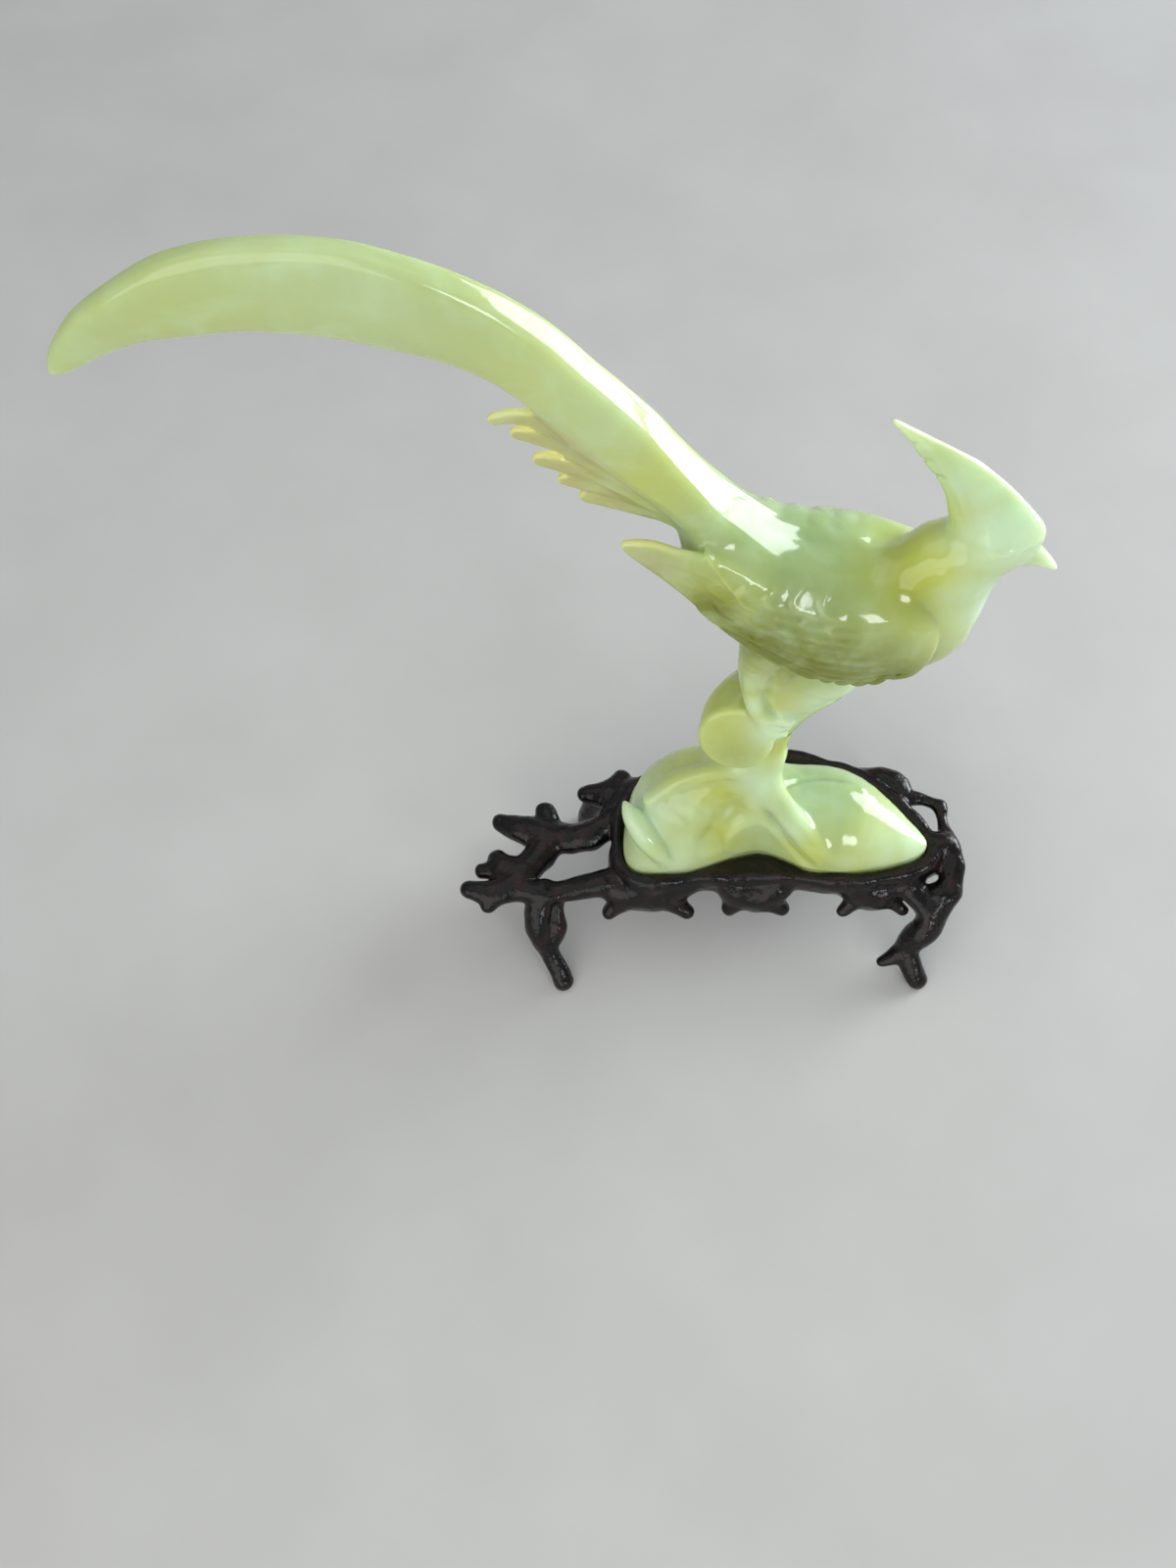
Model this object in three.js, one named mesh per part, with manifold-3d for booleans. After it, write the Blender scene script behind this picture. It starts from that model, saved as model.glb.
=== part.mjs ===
// A carved jade bird with a long arched tail, on a rock that sits in a carved dark wood stand.
// Millimetres, +Z up. The bird faces +X and shows its right side to -Y.
import * as THREE from "three";
import Module from "manifold-3d";
import { mergeVertices } from "three/addons/utils/BufferGeometryUtils.js";

const manifold = await Module();
manifold.setup();

// Driving sizes of the jade. Its pose and carving are shares of the height it is drawn at, and follow FIGURE_HEIGHT.
const FIGURE_HEIGHT = 213.5; // from the underside of the rock to the top of the tail's arch
const TAIL_THICKNESS = 7; // the long tail blade, across the bird
const FEATHER_THICKNESS = 2.4; // the short feathers under the tail
const WING_RELIEF = 1.7; // how far the folded wings stand out from the body
const WING_TIP_THICKNESS = 3.2; // where a wing's tip stands clear of the body
const CREST_THICKNESS = 6; // the crest at the forehead, thinning to its tip

// Driving sizes of the stand.
const STAND_HEIGHT = 28; // floor to the top of the rim
const SEAT_DEPTH = 3.6; // how far the rock sinks below the top of the rim
const DECK_THICKNESS = 3.4; // the wood under the rock
const SEAT_GAP = 0.3; // clearance between the rock and the wood
const RIM_WIDTH = 4.2;
const BRANCH_THICKNESS = 7; // a full branch of the pierced roots
const LEG_THICKNESS = 7.4;
const FOOT_THICKNESS = 5.2;
const FRONT_FOOT_SPREAD = 98; // between the middles of the two front feet
const FRONT_FOOT_REACH = 38; // from the middle of the rim to the front feet
const BACK_FOOT_REACH = 21;
const FOOT_RISE = 1.6; // from the floor, where a foot is cut flat, to the middle of its end
const CUT = 1; // how far a cutting block runs past what it cuts

// What the tables are drawn for: the figure's height, the level of its underside, and the rim's width.
const drawn = { height: 213.5, bottom: 24.7, rim: 4.2 };
const share = FIGURE_HEIGHT / drawn.height;
const seatLevel = STAND_HEIGHT - SEAT_DEPTH;
const rockBottom = seatLevel + SEAT_GAP;

// Joins, cuts and trims, made on closed three.js geometries.
function solidOf(geometry) {
  const bare = new THREE.BufferGeometry();
  const source = geometry.index ? geometry.toNonIndexed() : geometry;
  bare.setAttribute("position", source.getAttribute("position"));
  const merged = mergeVertices(bare, 1e-4);
  const mesh = new manifold.Mesh({
    numProp: 3,
    vertProperties: merged.attributes.position.array,
    triVerts: new Uint32Array(merged.index.array),
  });
  return new manifold.Manifold(mesh);
}

function geometryOf(solid) {
  const mesh = solid.getMesh();
  const geometry = new THREE.BufferGeometry();
  geometry.setAttribute("position", new THREE.BufferAttribute(mesh.vertProperties, 3));
  geometry.setIndex(new THREE.BufferAttribute(mesh.triVerts, 1));
  geometry.computeVertexNormals();
  return geometry;
}

const join = (geometries) => geometryOf(manifold.Manifold.union(geometries.map(solidOf)));
const cut = (from, tool) => geometryOf(solidOf(from).subtract(solidOf(tool)));
const trim = (from, inside) => geometryOf(solidOf(from).intersect(solidOf(inside)));

// A closed skin over rings of equal length, each a list of Vector3, with both ends filled in.
function skin(rings, closed = false) {
  const sides = rings[0].length;
  const points = rings.flat();
  const faces = [];
  const last = closed ? rings.length : rings.length - 1;
  for (let i = 0; i < last; i++) {
    for (let j = 0; j < sides; j++) {
      const a = i * sides + j;
      const b = i * sides + ((j + 1) % sides);
      const c = ((i + 1) % rings.length) * sides + j;
      const d = ((i + 1) % rings.length) * sides + ((j + 1) % sides);
      faces.push(a, b, c, b, d, c);
    }
  }
  if (!closed) {
    const middle = (ring) => ring.reduce((sum, p) => sum.add(p), new THREE.Vector3()).divideScalar(sides);
    points.push(middle(rings[0]), middle(rings[rings.length - 1]));
    const end = (rings.length - 1) * sides;
    for (let j = 0; j < sides; j++) {
      faces.push(points.length - 2, (j + 1) % sides, j);
      faces.push(points.length - 1, end + j, end + ((j + 1) % sides));
    }
  }
  let volume = 0;
  for (let i = 0; i < faces.length; i += 3) {
    const [a, b, c] = [points[faces[i]], points[faces[i + 1]], points[faces[i + 2]]];
    volume += new THREE.Vector3().crossVectors(b, c).dot(a);
  }
  if (volume < 0) faces.reverse();
  const geometry = new THREE.BufferGeometry().setFromPoints(points);
  geometry.setIndex(faces);
  return geometry;
}

// Rows of numbers, eased through with a Catmull-Rom curve: steps new rows for each gap.
function eased(rows, steps) {
  const out = [];
  const row = (i) => rows[Math.min(Math.max(i, 0), rows.length - 1)];
  for (let i = 0; i < rows.length - 1; i++) {
    for (let k = 0; k < steps; k++) {
      const t = k / steps;
      out.push(
        rows[i].map((value, n) => {
          const [p, q, r, s] = [row(i - 1)[n], value, row(i + 1)[n], row(i + 2)[n]];
          const bend = 2 * p - 5 * q + 4 * r - s;
          return q + 0.5 * t * (r - p + t * (bend + t * (3 * (q - r) + s - p)));
        }),
      );
    }
  }
  out.push(rows[rows.length - 1]);
  return out;
}

// A blade: each row gives its upper edge (x, z), its lower edge (x, z), its half thickness, its middle's y,
// and how square its upper half is, from 0 to 1. edge above 1 draws the two long edges sharper.
function blade(rows, { sides = 12, steps = 1, edge = 1 } = {}) {
  const power = (value, by) => Math.sign(value) * Math.abs(value) ** by;
  const rings = eased(rows, steps).map(([ux, uz, lx, lz, half, y = 0, square = 0]) => {
    const middle = new THREE.Vector3((ux + lx) / 2, y, (uz + lz) / 2);
    const up = new THREE.Vector3((ux - lx) / 2, 0, (uz - lz) / 2);
    const ring = [];
    for (let j = 0; j < sides; j++) {
      const angle = (2 * Math.PI * j) / sides;
      const upper = Math.cos(angle) > 0 ? 1 - 0.5 * square : 1;
      const side = power(Math.sin(angle), square && upper < 1 ? upper : edge);
      const rise = power(Math.cos(angle), upper);
      ring.push(middle.clone().addScaledVector(up, rise).add(new THREE.Vector3(0, half * side, 0)));
    }
    return ring;
  });
  return skin(rings);
}

// A limb: each row gives its middle (x, y, z) and its radius. Both ends are rounded.
// squash scales the radius along x, y and z.
function limb(rows, { sides = 10, steps = 2, squash = [1, 1, 1], round = 2 } = {}) {
  const line = eased(rows, steps);
  const middles = line.map(([x, y, z]) => new THREE.Vector3(x, y, z));
  const scale = new THREE.Vector3(...squash);
  const ahead = (i) => {
    const from = middles[Math.max(i - 1, 0)];
    const to = middles[Math.min(i + 1, middles.length - 1)];
    return new THREE.Vector3().subVectors(to, from).normalize();
  };
  const side = new THREE.Vector3(0.13, 0.9, 0.41);
  const rings = [];
  const ring = (middle, along, radius) => {
    side.addScaledVector(along, -side.dot(along)).normalize();
    const other = new THREE.Vector3().crossVectors(along, side);
    const points = [];
    for (let j = 0; j < sides; j++) {
      const angle = (2 * Math.PI * j) / sides;
      const offset = side.clone().multiplyScalar(Math.cos(angle) * radius);
      offset.addScaledVector(other, Math.sin(angle) * radius).multiply(scale);
      points.push(middle.clone().add(offset));
    }
    rings.push(points);
  };
  const capped = (i, way) => {
    const along = ahead(i);
    for (let k = 1; k <= round; k++) {
      const lift = way > 0 ? k : round + 1 - k;
      const angle = (0.5 * Math.PI * lift) / (round + 0.35);
      const push = along.clone().multiplyScalar(way * Math.sin(angle) * line[i][3]).multiply(scale);
      ring(middles[i].clone().add(push), along, Math.cos(angle) * line[i][3]);
    }
  };
  capped(0, -1);
  middles.forEach((middle, i) => ring(middle, ahead(i), line[i][3]));
  capped(middles.length - 1, 1);
  return skin(rings);
}

// A closed outline in plan or in side view, eased through its points.
function outline(points, steps = 3) {
  const around = [...points, points[0]];
  const count = points.length;
  const out = [];
  for (let i = 0; i < count; i++) {
    const four = [points[(i + count - 1) % count], around[i], around[i + 1], points[(i + 2) % count]];
    out.push(...eased(four, steps).slice(steps, 2 * steps));
  }
  return out;
}

// An outline moved outwards by a distance, along its own normals.
function widened(points, distance) {
  const count = points.length;
  const turn = Math.sign(
    points.reduce((sum, p, i) => {
      const q = points[(i + 1) % count];
      return sum + p[0] * q[1] - q[0] * p[1];
    }, 0),
  );
  return points.map((p, i) => {
    const before = points[(i + count - 1) % count];
    const after = points[(i + 1) % count];
    const along = new THREE.Vector2(after[0] - before[0], after[1] - before[1]).normalize();
    return [p[0] + turn * distance * along.y, p[1] - turn * distance * along.x];
  });
}

// A plate with an outline in plan, from one height to another.
function plate(points, bottom, top) {
  const shape = new THREE.Shape(points.map(([x, y]) => new THREE.Vector2(x, y)));
  const geometry = new THREE.ExtrudeGeometry(shape, { depth: top - bottom, bevelEnabled: false });
  return geometry.translate(0, 0, bottom);
}

// A block with an outline in side view (x, z), from one y to another.
function sideBlock(points, near, far) {
  const shape = new THREE.Shape(points.map(([x, z]) => new THREE.Vector2(x, z)));
  const geometry = new THREE.ExtrudeGeometry(shape, { depth: far - near, bevelEnabled: false });
  return geometry.rotateX(Math.PI / 2).translate(0, far, 0);
}

// The jade, drawn over the middle of the stand with the floor at z = 0.
function tail() {
  const half = TAIL_THICKNESS / share / 2;
  const rows = [
    [-135.2, 207.6, -134.7, 206.6, 0.25 * half, 0, 0],
    [-132.8, 213.5, -131, 207.2, 0.5 * half, 0, 0.3],
    [-126.5, 221.6, -124.5, 210.8, 0.75 * half, 0, 0.5],
    [-117.4, 228.7, -115.3, 214.4, 0.9 * half, 0, 0.5],
    [-106.5, 234.8, -105, 215.9, half, 0, 0.5],
    [-92.5, 238, -93.5, 216.4, half, 0, 0.5],
    [-77.1, 237.4, -80, 214.3, half, 0, 0.5],
    [-62.7, 231.9, -67.5, 210.7, 1.05 * half, 0, 0.6],
    [-50.4, 224.3, -57.5, 206.2, 1.1 * half, 0, 0.8],
    [-40.2, 214.8, -48.5, 199.5, 1.2 * half, 0, 1],
    [-30.7, 202.5, -39.5, 187.5, 1.3 * half, 0, 1],
    [-20.6, 188.9, -29.5, 174, 1.4 * half, 0, 1],
    [-11.9, 174.4, -18.6, 161.8, 1.6 * half, 0, 1],
    [-3.7, 162.5, -12.5, 148, 2.1 * half, 0, 0.8],
    [6.4, 152.6, -7, 132, 2.6 * half, 0, 0.4],
    [16.9, 143.9, 4, 128, 2.2 * half, 0, 0],
  ];
  return blade(rows, { sides: 10, steps: 2, edge: 1.25 });
}

// Five short feathers fan out under the root of the tail. Each middle line (x, z) runs from its tip to its root.
const FEATHERS = [
  [[-52.8, 190.8], [-47.5, 191.7], [-43.5, 190.4], [-38, 186], [-28, 176], [-16, 163]],
  [[-48.7, 187], [-45.4, 186.6], [-41, 184.6], [-35.4, 180.3], [-26, 172], [-15, 161]],
  [[-44.8, 179], [-41.5, 178.6], [-37.6, 176.8], [-31.9, 172.8], [-24, 167.5], [-15, 160]],
  [[-40.1, 172.6], [-35.9, 171.8], [-32, 170.1], [-26, 166.6], [-20, 163], [-14, 159]],
  [[-36, 167], [-32.1, 166.4], [-28.1, 164.8], [-22.1, 162.4], [-17, 161.2], [-11, 160]],
];

function tailFeathers() {
  const half = FEATHER_THICKNESS / share / 2;
  const stations = [
    [0, 0.5, 0.5],
    [0.25, 1.5, 0.8],
    [1, 2.1, 1],
    [2, 2.4, 1.1],
    [3, 2.5, 1.3],
    [4, 2.4, 2.2],
    [5, 2, 3],
  ];
  return FEATHERS.map((line) => {
    const rows = stations.map(([at, wide, thick]) => {
      const i = Math.min(Math.floor(at), line.length - 2);
      const [from, to] = [line[i], line[i + 1]];
      const along = new THREE.Vector2(to[0] - from[0], to[1] - from[1]);
      const middle = along.clone().multiplyScalar(at - i).add(new THREE.Vector2(...from));
      along.normalize();
      const [ex, ez] = [along.y * wide, -along.x * wide];
      return [middle.x - ex, middle.y - ez, middle.x + ex, middle.y + ez, thick * half];
    });
    return blade(rows, { sides: 6, steps: 1 });
  });
}

// The body is a row of upright ellipses from the root of the tail to the breast: x, middle z, half height, half width.
const BODY = [
  [-15, 152.6, 5, 4],
  [-10, 147.6, 12.6, 8.6],
  [-2, 140.5, 16, 13],
  [6, 134.5, 17.4, 15],
  [15, 129.8, 18.8, 16.3],
  [25, 126.8, 18.6, 16.2],
  [33, 124.6, 15.8, 13.8],
  [40, 124.4, 11.6, 10.6],
  [46, 124, 7.4, 7],
  [49.6, 124.5, 2.6, 2.6],
];

function bodyShell(outwards, sides) {
  const rows = BODY.map(([x, z, high, wide]) => [x, z + high + outwards, x, z - high - outwards, wide + outwards]);
  return blade(rows, { sides, steps: 1 });
}

function headAndNeck() {
  const neck = limb(
    [
      [35.2, 0, 123.2, 15.2],
      [39.5, 0, 130, 13],
      [43.5, 0, 138.5, 10.3],
      [47.5, 0, 146, 8.4],
      [51, 0, 150.5, 7.8],
    ],
    { sides: 14, steps: 1, squash: [1, 0.94, 1], round: 3 },
  );
  const cheek = limb(
    [
      [50, 0, 149, 8.6],
      [55, 0, 148.5, 6.6],
    ],
    { sides: 12, steps: 2, squash: [1, 0.8, 1], round: 2 },
  );
  const beak = blade(
    [
      [54, 154, 52, 141, 5],
      [60.2, 150.8, 58, 141.3, 3.9],
      [64, 147, 62.6, 140.6, 2.8],
      [66.4, 142.6, 65.4, 139, 1.5],
      [67.1, 139.2, 66.6, 138, 0.5],
    ],
    { sides: 12, steps: 2 },
  );
  const thick = CREST_THICKNESS / share / 2;
  const crest = blade(
    [
      [25.2, 189.4, 25.9, 188.2, 0.2 * thick],
      [31.6, 184.8, 29.8, 182.6, 0.4 * thick],
      [39.4, 179.2, 33.4, 176.4, 0.6 * thick],
      [46.4, 173.6, 36.8, 170.6, 0.8 * thick],
      [52.8, 166.6, 39.4, 164.6, thick],
      [58.2, 159.4, 41, 158, 1.35 * thick],
      [61.8, 152.6, 44, 150, 1.5 * thick],
      [60, 149.5, 48, 146, thick],
    ],
    { sides: 8, steps: 2, edge: 1.1 },
  );
  return [neck, cheek, beak, crest];
}

// A folded wing: the body's shell, a little larger, inside the wing's outline, and the free tip behind it.
const WING_OUTLINE = [
  [27, 149],
  [36.5, 141.5],
  [42, 138.5],
  [44.5, 133],
  [44, 127],
  [40.5, 119],
  [34, 110],
  [22, 106.5],
  [8, 112],
  [-2, 127],
  [-12, 141],
  [-17, 150],
  [-15, 160],
  [2, 158],
  [15, 153],
];

function wing(side) {
  const shell = bodyShell(WING_RELIEF / share, 20);
  const [near, far] = side < 0 ? [-30, 0] : [0, 30];
  const folded = trim(shell, sideBlock(outline(WING_OUTLINE, 2), near, far));
  const half = WING_TIP_THICKNESS / share / 2;
  const rows = [
    [-27.4, 162.6, -27.6, 161, 0.5 * half, 9],
    [-25, 163, -25.6, 157.8, 0.8 * half, 9],
    [-20.5, 162.4, -20.4, 151.4, half, 9],
    [-14, 160, -13, 142, half, 9.6],
    [-5, 156, -4, 132, 1.2 * half, 10.6],
    [4, 148, 4, 130, 1.6 * half, 11],
  ].map(([a, b, c, d, e, y]) => [a, b, c, d, e, side * y]);
  return [folded, blade(rows, { sides: 8, steps: 2 })];
}

// The bird's legs, the cut branch that it stands on and the sawn stub on the branch.
function perch() {
  const trunk = limb(
    [
      [-1, 0, 54, 7.6],
      [4.6, 0, 62, 6],
      [7, 0, 73, 5.8],
      [8.6, 0, 83, 6.6],
      [11.4, 0, 93, 9],
      [16.8, 0.6, 104, 11.6],
    ],
    { sides: 10, steps: 1 },
  );
  const leg = limb(
    [
      [4, -5.6, 120, 6.4],
      [1.2, -6.6, 111, 4],
      [0.6, -8, 102, 2.9],
      [2, -8.8, 96, 2.7],
      [6, -8.8, 91, 2.6],
      [9.5, -7.4, 87, 2.2],
    ],
    { sides: 8, steps: 1 },
  );
  const farLeg = limb(
    [
      [4, 5.6, 120, 6.4],
      [3, 6.2, 108, 4],
      [5, 7.6, 96, 2.8],
      [9, 6.6, 88, 2.4],
    ],
    { sides: 6, steps: 1 },
  );
  const stub = limb(
    [
      [5, 3, 84.5, 8.4],
      [0, -3.4, 83.2, 9.7],
      [-1.8, -9, 82.5, 9.8],
      [-2.3, -11.3, 83, 8.7],
    ],
    { sides: 14, steps: 1, round: 0 },
  );
  const toes = [-1, 0, 1].map((n) =>
    limb(
      [
        [5, -8, 91 + 2 * n, 2],
        [9.5 + n, -7.2, 88 + 2.6 * n, 1.9],
        [12, -6, 84 + 3.4 * n, 1.2],
      ],
      { sides: 6, steps: 1, round: 1 },
    ),
  );
  return [trunk, leg, farLeg, stub, ...toes];
}

function rock() {
  const left = limb(
    [
      [-20, -6.4, 26, 11.4],
      [-15.5, -1, 37.5, 12.7],
      [-5, 1, 50, 8.6],
      [1, 0, 60, 6.6],
    ],
    { sides: 10, steps: 2, round: 2 },
  );
  const right = limb(
    [
      [2, -2, 36, 12],
      [14, -3, 31, 13.4],
      [25, -3.5, 30, 13.4],
      [33.5, -5.5, 27, 11.4],
      [42, -8.5, 25, 7.8],
      [47.6, -10, 25.5, 3.8],
    ],
    { sides: 12, steps: 2, squash: [1, 1.12, 1], round: 2 },
  );
  const root = limb(
    [
      [6, -2, 64, 5.4],
      [4.6, -4.4, 52, 5.6],
      [4.4, -7.2, 38, 5],
      [4.4, -8.6, 26, 4.2],
    ],
    { sides: 8, steps: 2 },
  );
  const ridge = limb(
    [
      [7, -4.4, 49, 3.4],
      [13, -10.5, 39.5, 3.8],
      [23, -15, 29.5, 3.2],
    ],
    { sides: 8, steps: 2 },
  );
  const flake = limb(
    [
      [-30.6, -5, 43.6, 1.2],
      [-28.2, -7.6, 42, 2.4],
      [-25.4, -11, 38, 3],
      [-23.4, -13.8, 33, 3.2],
      [-24, -14.6, 27, 3.2],
    ],
    { sides: 8, steps: 2 },
  );
  return [left, right, root, ridge, flake];
}

// The rock's outline where it meets the seat, in plan.
const ROCK_PLAN = [
  [-31.4, -8],
  [-30.4, -15],
  [-26, -18],
  [-17, -17.6],
  [-8, -15.6],
  [-1, -12.8],
  [5.4, -11.6],
  [12, -14],
  [19, -17.4],
  [29, -18.2],
  [39, -16.8],
  [47, -14.2],
  [50.6, -10.6],
  [49, -6.6],
  [42, 0.6],
  [34, 7],
  [24, 12.4],
  [8, 15.6],
  [-10, 15],
  [-22, 11],
  [-29.4, 2],
];

const rockPlan = (outwards) =>
  widened(
    outline(ROCK_PLAN, 1).map(([x, y]) => [x * share, y * share]),
    outwards,
  );

// The rock's foot fills the seat and rises from the rim as a low hill under the carved lobes.
function rockFoot() {
  const foot = outline(ROCK_PLAN, 1);
  const layers = [
    [drawn.bottom, 1],
    [drawn.bottom + SEAT_DEPTH / share, 1],
    [drawn.bottom + 8, 0.88],
    [drawn.bottom + 13, 0.66],
    [drawn.bottom + 17, 0.3],
  ];
  return skin(layers.map(([z, size]) => foot.map(([x, y]) => new THREE.Vector3(x * size, y * size, z))));
}

function jadeBird() {
  const parts = [tail(), ...tailFeathers(), bodyShell(0, 20), ...headAndNeck(), ...wing(-1), ...wing(1), ...perch()];
  const reach = plate(outline(ROCK_PLAN, 1), drawn.bottom, drawn.bottom + 60);
  const stone = trim(join(rock()), reach);
  const whole = join([...parts, stone, rockFoot()]);
  return whole.translate(0, 0, -drawn.bottom).scale(share, share, share).translate(0, 0, rockBottom);
}

// The stand. Its plan follows the rock and its heights are shares of STAND_HEIGHT.
const place = (x, y, level, thick) => [x * share, y * share, level * STAND_HEIGHT, thick];
const ROOTS = 0.79; // level of the pierced roots beside the seat

// The middle line of the rim in plan. In front it bridges the hollow in the rock's edge.
const RIM_SIDES = 6;
const RIM_PLAN = [
  [-33.6, -8],
  [-31.6, -16.6],
  [-25, -19.8],
  [-9, -18.8],
  [6, -18.2],
  [20, -19.2],
  [32, -19.9],
  [43, -18.4],
  [51, -14.6],
  [53, -9.6],
  [50.4, -4],
  [44.6, 2.6],
  [37, 9.6],
  [26, 16],
  [9, 19.2],
  [-10, 18],
  [-24, 13.6],
  [-31.6, 4],
];

function rim() {
  const scaled = outline(RIM_PLAN, 2).map(([x, y]) => [x * share, y * share]);
  const middle = widened(scaled, (RIM_WIDTH - drawn.rim) / 2);
  const rings = middle.map(([x, y], i) => {
    const [before, after] = [middle.at(i - 1), middle[(i + 1) % middle.length]];
    const along = new THREE.Vector2(after[0] - before[0], after[1] - before[1]).normalize();
    const swell = 1 + 0.16 * Math.sin(i * 1.9);
    const ring = [];
    for (let j = 0; j < RIM_SIDES; j++) {
      const angle = (2 * Math.PI * (j + 0.5)) / RIM_SIDES;
      const out = (Math.cos(angle) * RIM_WIDTH * swell) / 2;
      const high = Math.sin(angle) * 0.15 * STAND_HEIGHT;
      ring.push(new THREE.Vector3(x + along.y * out, y - along.x * out, 0.855 * STAND_HEIGHT + high));
    }
    return ring;
  });
  const inner = middle.filter((point, i) => i % 2 === 0);
  const deck = plate(inner, seatLevel - DECK_THICKNESS, 0.93 * STAND_HEIGHT);
  return [skin(rings, true), deck];
}

function branch(rows, squash = [1, 1, 0.9]) {
  const half = BRANCH_THICKNESS / 2;
  const placed = rows.map(([x, y, level, thick]) => place(x, y, level, thick * half));
  return limb(placed, { sides: 6, steps: rows.length > 3 ? 1 : 2, round: 1, squash });
}

// A scalloped lobe of the front apron: a wave along the rim with a drooping nub at each end.
function apronLobe([x, half, reach]) {
  const wave = branch(
    [
      [x - half, -19.4, 0.8, 0.9],
      [x - 0.4 * half, -20.6, 0.7, 1.35],
      [x + 0.4 * half, -20.6, 0.7, 1.3],
      [x + half, -19.4, 0.8, 0.9],
    ],
    [1, 0.8, 1.15],
  );
  const nubs = [-1, 1].map((way) =>
    branch([
      [x + way * 0.45 * half, -20.6, 0.68, 1],
      [x + way * 0.95 * half, -reach, 0.56, 0.62],
    ]),
  );
  return [wave, ...nubs];
}

function leftRoots() {
  return [
    branch([
      [-28, 10, 0.86, 1],
      [-33.6, 2.4, 0.84, 1.1],
      [-38, -2.6, 0.82, 1.2],
      [-46, -4.4, ROOTS, 1.3],
      [-54, -3, ROOTS, 1.4],
      [-60, -1, ROOTS, 1.1],
      [-65.6, 1.2, 0.77, 0.8],
    ]),
    branch([[-51.4, -3, ROOTS, 1.2], [-53.6, 4.4, ROOTS, 0.75]]),
    branch([[-32, 6, 0.84, 1], [-37, 8.8, 0.82, 1], [-42.4, 9.6, 0.8, 0.6]]),
    branch([[-36.4, 8.6, 0.83, 1], [-32, 14, 0.84, 0.7]]),
    branch([
      [-51, -5, ROOTS, 1.3],
      [-56.4, -11.4, ROOTS, 1.25],
      [-61, -18, ROOTS, 1.2],
      [-67, -20.4, 0.78, 1],
      [-73.4, -19.8, 0.78, 0.75],
    ]),
    branch([[-59, -15, ROOTS, 1.1], [-64.6, -13, ROOTS, 1.1], [-66.6, -10.4, ROOTS, 0.8]]),
    branch([[-64.6, -13.4, ROOTS, 0.9], [-70.6, -13.6, 0.77, 0.7]]),
    branch([
      [-61, -19, ROOTS, 1.1],
      [-53, -21, ROOTS, 1.05],
      [-45, -19.8, ROOTS, 0.95],
      [-34, -17.6, 0.82, 1.1],
    ]),
    branch([[-66, -20.4, 0.76, 0.8], [-68.6, -23.6, 0.72, 0.6]]),
  ];
}

function rightRoots() {
  return [
    branch([
      [36, 12, 0.84, 1],
      [43.4, 10.8, 0.87, 1.1],
      [46.6, 6.8, 0.87, 0.75],
      [51.6, 5.8, 0.86, 0.62],
      [55.6, 3.6, 0.86, 0.7],
    ]),
    branch([
      [55.6, 3.6, 0.86, 0.7],
      [56.2, -3, 0.86, 0.62],
      [57, -9, 0.89, 1],
      [58, -15, 0.82, 0.8],
      [56.6, -21, 0.73, 1],
      [53, -25, 0.64, 1.1],
    ]),
    branch([[50, -8, 0.9, 1], [54, -8.6, 0.91, 1.15], [57, -9.6, 0.9, 1]]),
    branch([[43, -18, 0.8, 1], [48.6, -22, 0.69, 1.1], [52, -25.6, 0.6, 1.2]]),
  ];
}

function legs() {
  const thick = LEG_THICKNESS / 2;
  const foot = FOOT_THICKNESS / 2;
  const side = FRONT_FOOT_SPREAD / 2;
  const leg = (rows) => limb(rows, { sides: 8, steps: 1, round: 1 });
  return [
    leg([
      place(-53, -20, 0.78, thick),
      place(-55.4, -25, 0.64, 1.05 * thick),
      place(-55, -29, 0.45, thick),
      place(-52.4, -32, 0.27, 0.8 * thick),
      [-side, -FRONT_FOOT_REACH, FOOT_RISE, foot],
    ]),
    leg([
      place(54, -22, 0.72, thick),
      place(51, -27.6, 0.52, 1.2 * thick),
      place(47.6, -29.4, 0.38, thick),
      place(46, -32, 0.24, 0.8 * thick),
      [side, -FRONT_FOOT_REACH, FOOT_RISE, foot],
    ]),
    leg([
      place(-30, 10, 0.8, thick),
      place(-38, 11, 0.62, thick),
      place(-42, 12, 0.34, 0.9 * thick),
      [-0.88 * side, BACK_FOOT_REACH - 8, FOOT_RISE, foot],
    ]),
    leg([
      place(34, 12, 0.8, thick),
      place(41, 15, 0.6, thick),
      place(43, 17.6, 0.34, 0.9 * thick),
      [0.88 * side, BACK_FOOT_REACH, FOOT_RISE, foot],
    ]),
    branch([[-49, -20.6, 0.74, 0.8], [-50, -24, 0.6, 0.7], [-50.4, -27.8, 0.46, 0.9], [-52.4, -31, 0.32, 0.8]]),
    branch([[46.4, -31, 0.28, 0.8], [42, -33, 0.2, 0.6], [39, -34, 0.17, 0.4]]),
  ];
}

function woodStand() {
  const lobes = [
    [-25, 11, 23.6],
    [4.5, 7.6, 23],
    [36.4, 8.6, 23.6],
  ].flatMap(apronLobe);
  const wood = join([...rim(), ...lobes, ...leftRoots(), ...rightRoots(), ...legs()]);
  const seat = plate(rockPlan(SEAT_GAP), seatLevel, STAND_HEIGHT + 4 * CUT);
  const floor = new THREE.BoxGeometry(400, 400, 20).translate(0, 0, -10);
  return cut(cut(wood, seat), floor);
}

const jade = new THREE.MeshStandardMaterial({ name: "jade", color: 0xc3d489, roughness: 0.16, metalness: 0 });
const darkWood = new THREE.MeshStandardMaterial({ name: "dark_wood", color: 0x1d1513, roughness: 0.34, metalness: 0 });

function named(name, geometry, material) {
  const mesh = new THREE.Mesh(geometry, material);
  mesh.name = name;
  return mesh;
}

const figurine = new THREE.Group();
figurine.add(named("jade_bird", jadeBird(), jade));
figurine.add(named("wood_stand", woodStand(), darkWood));

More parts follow.
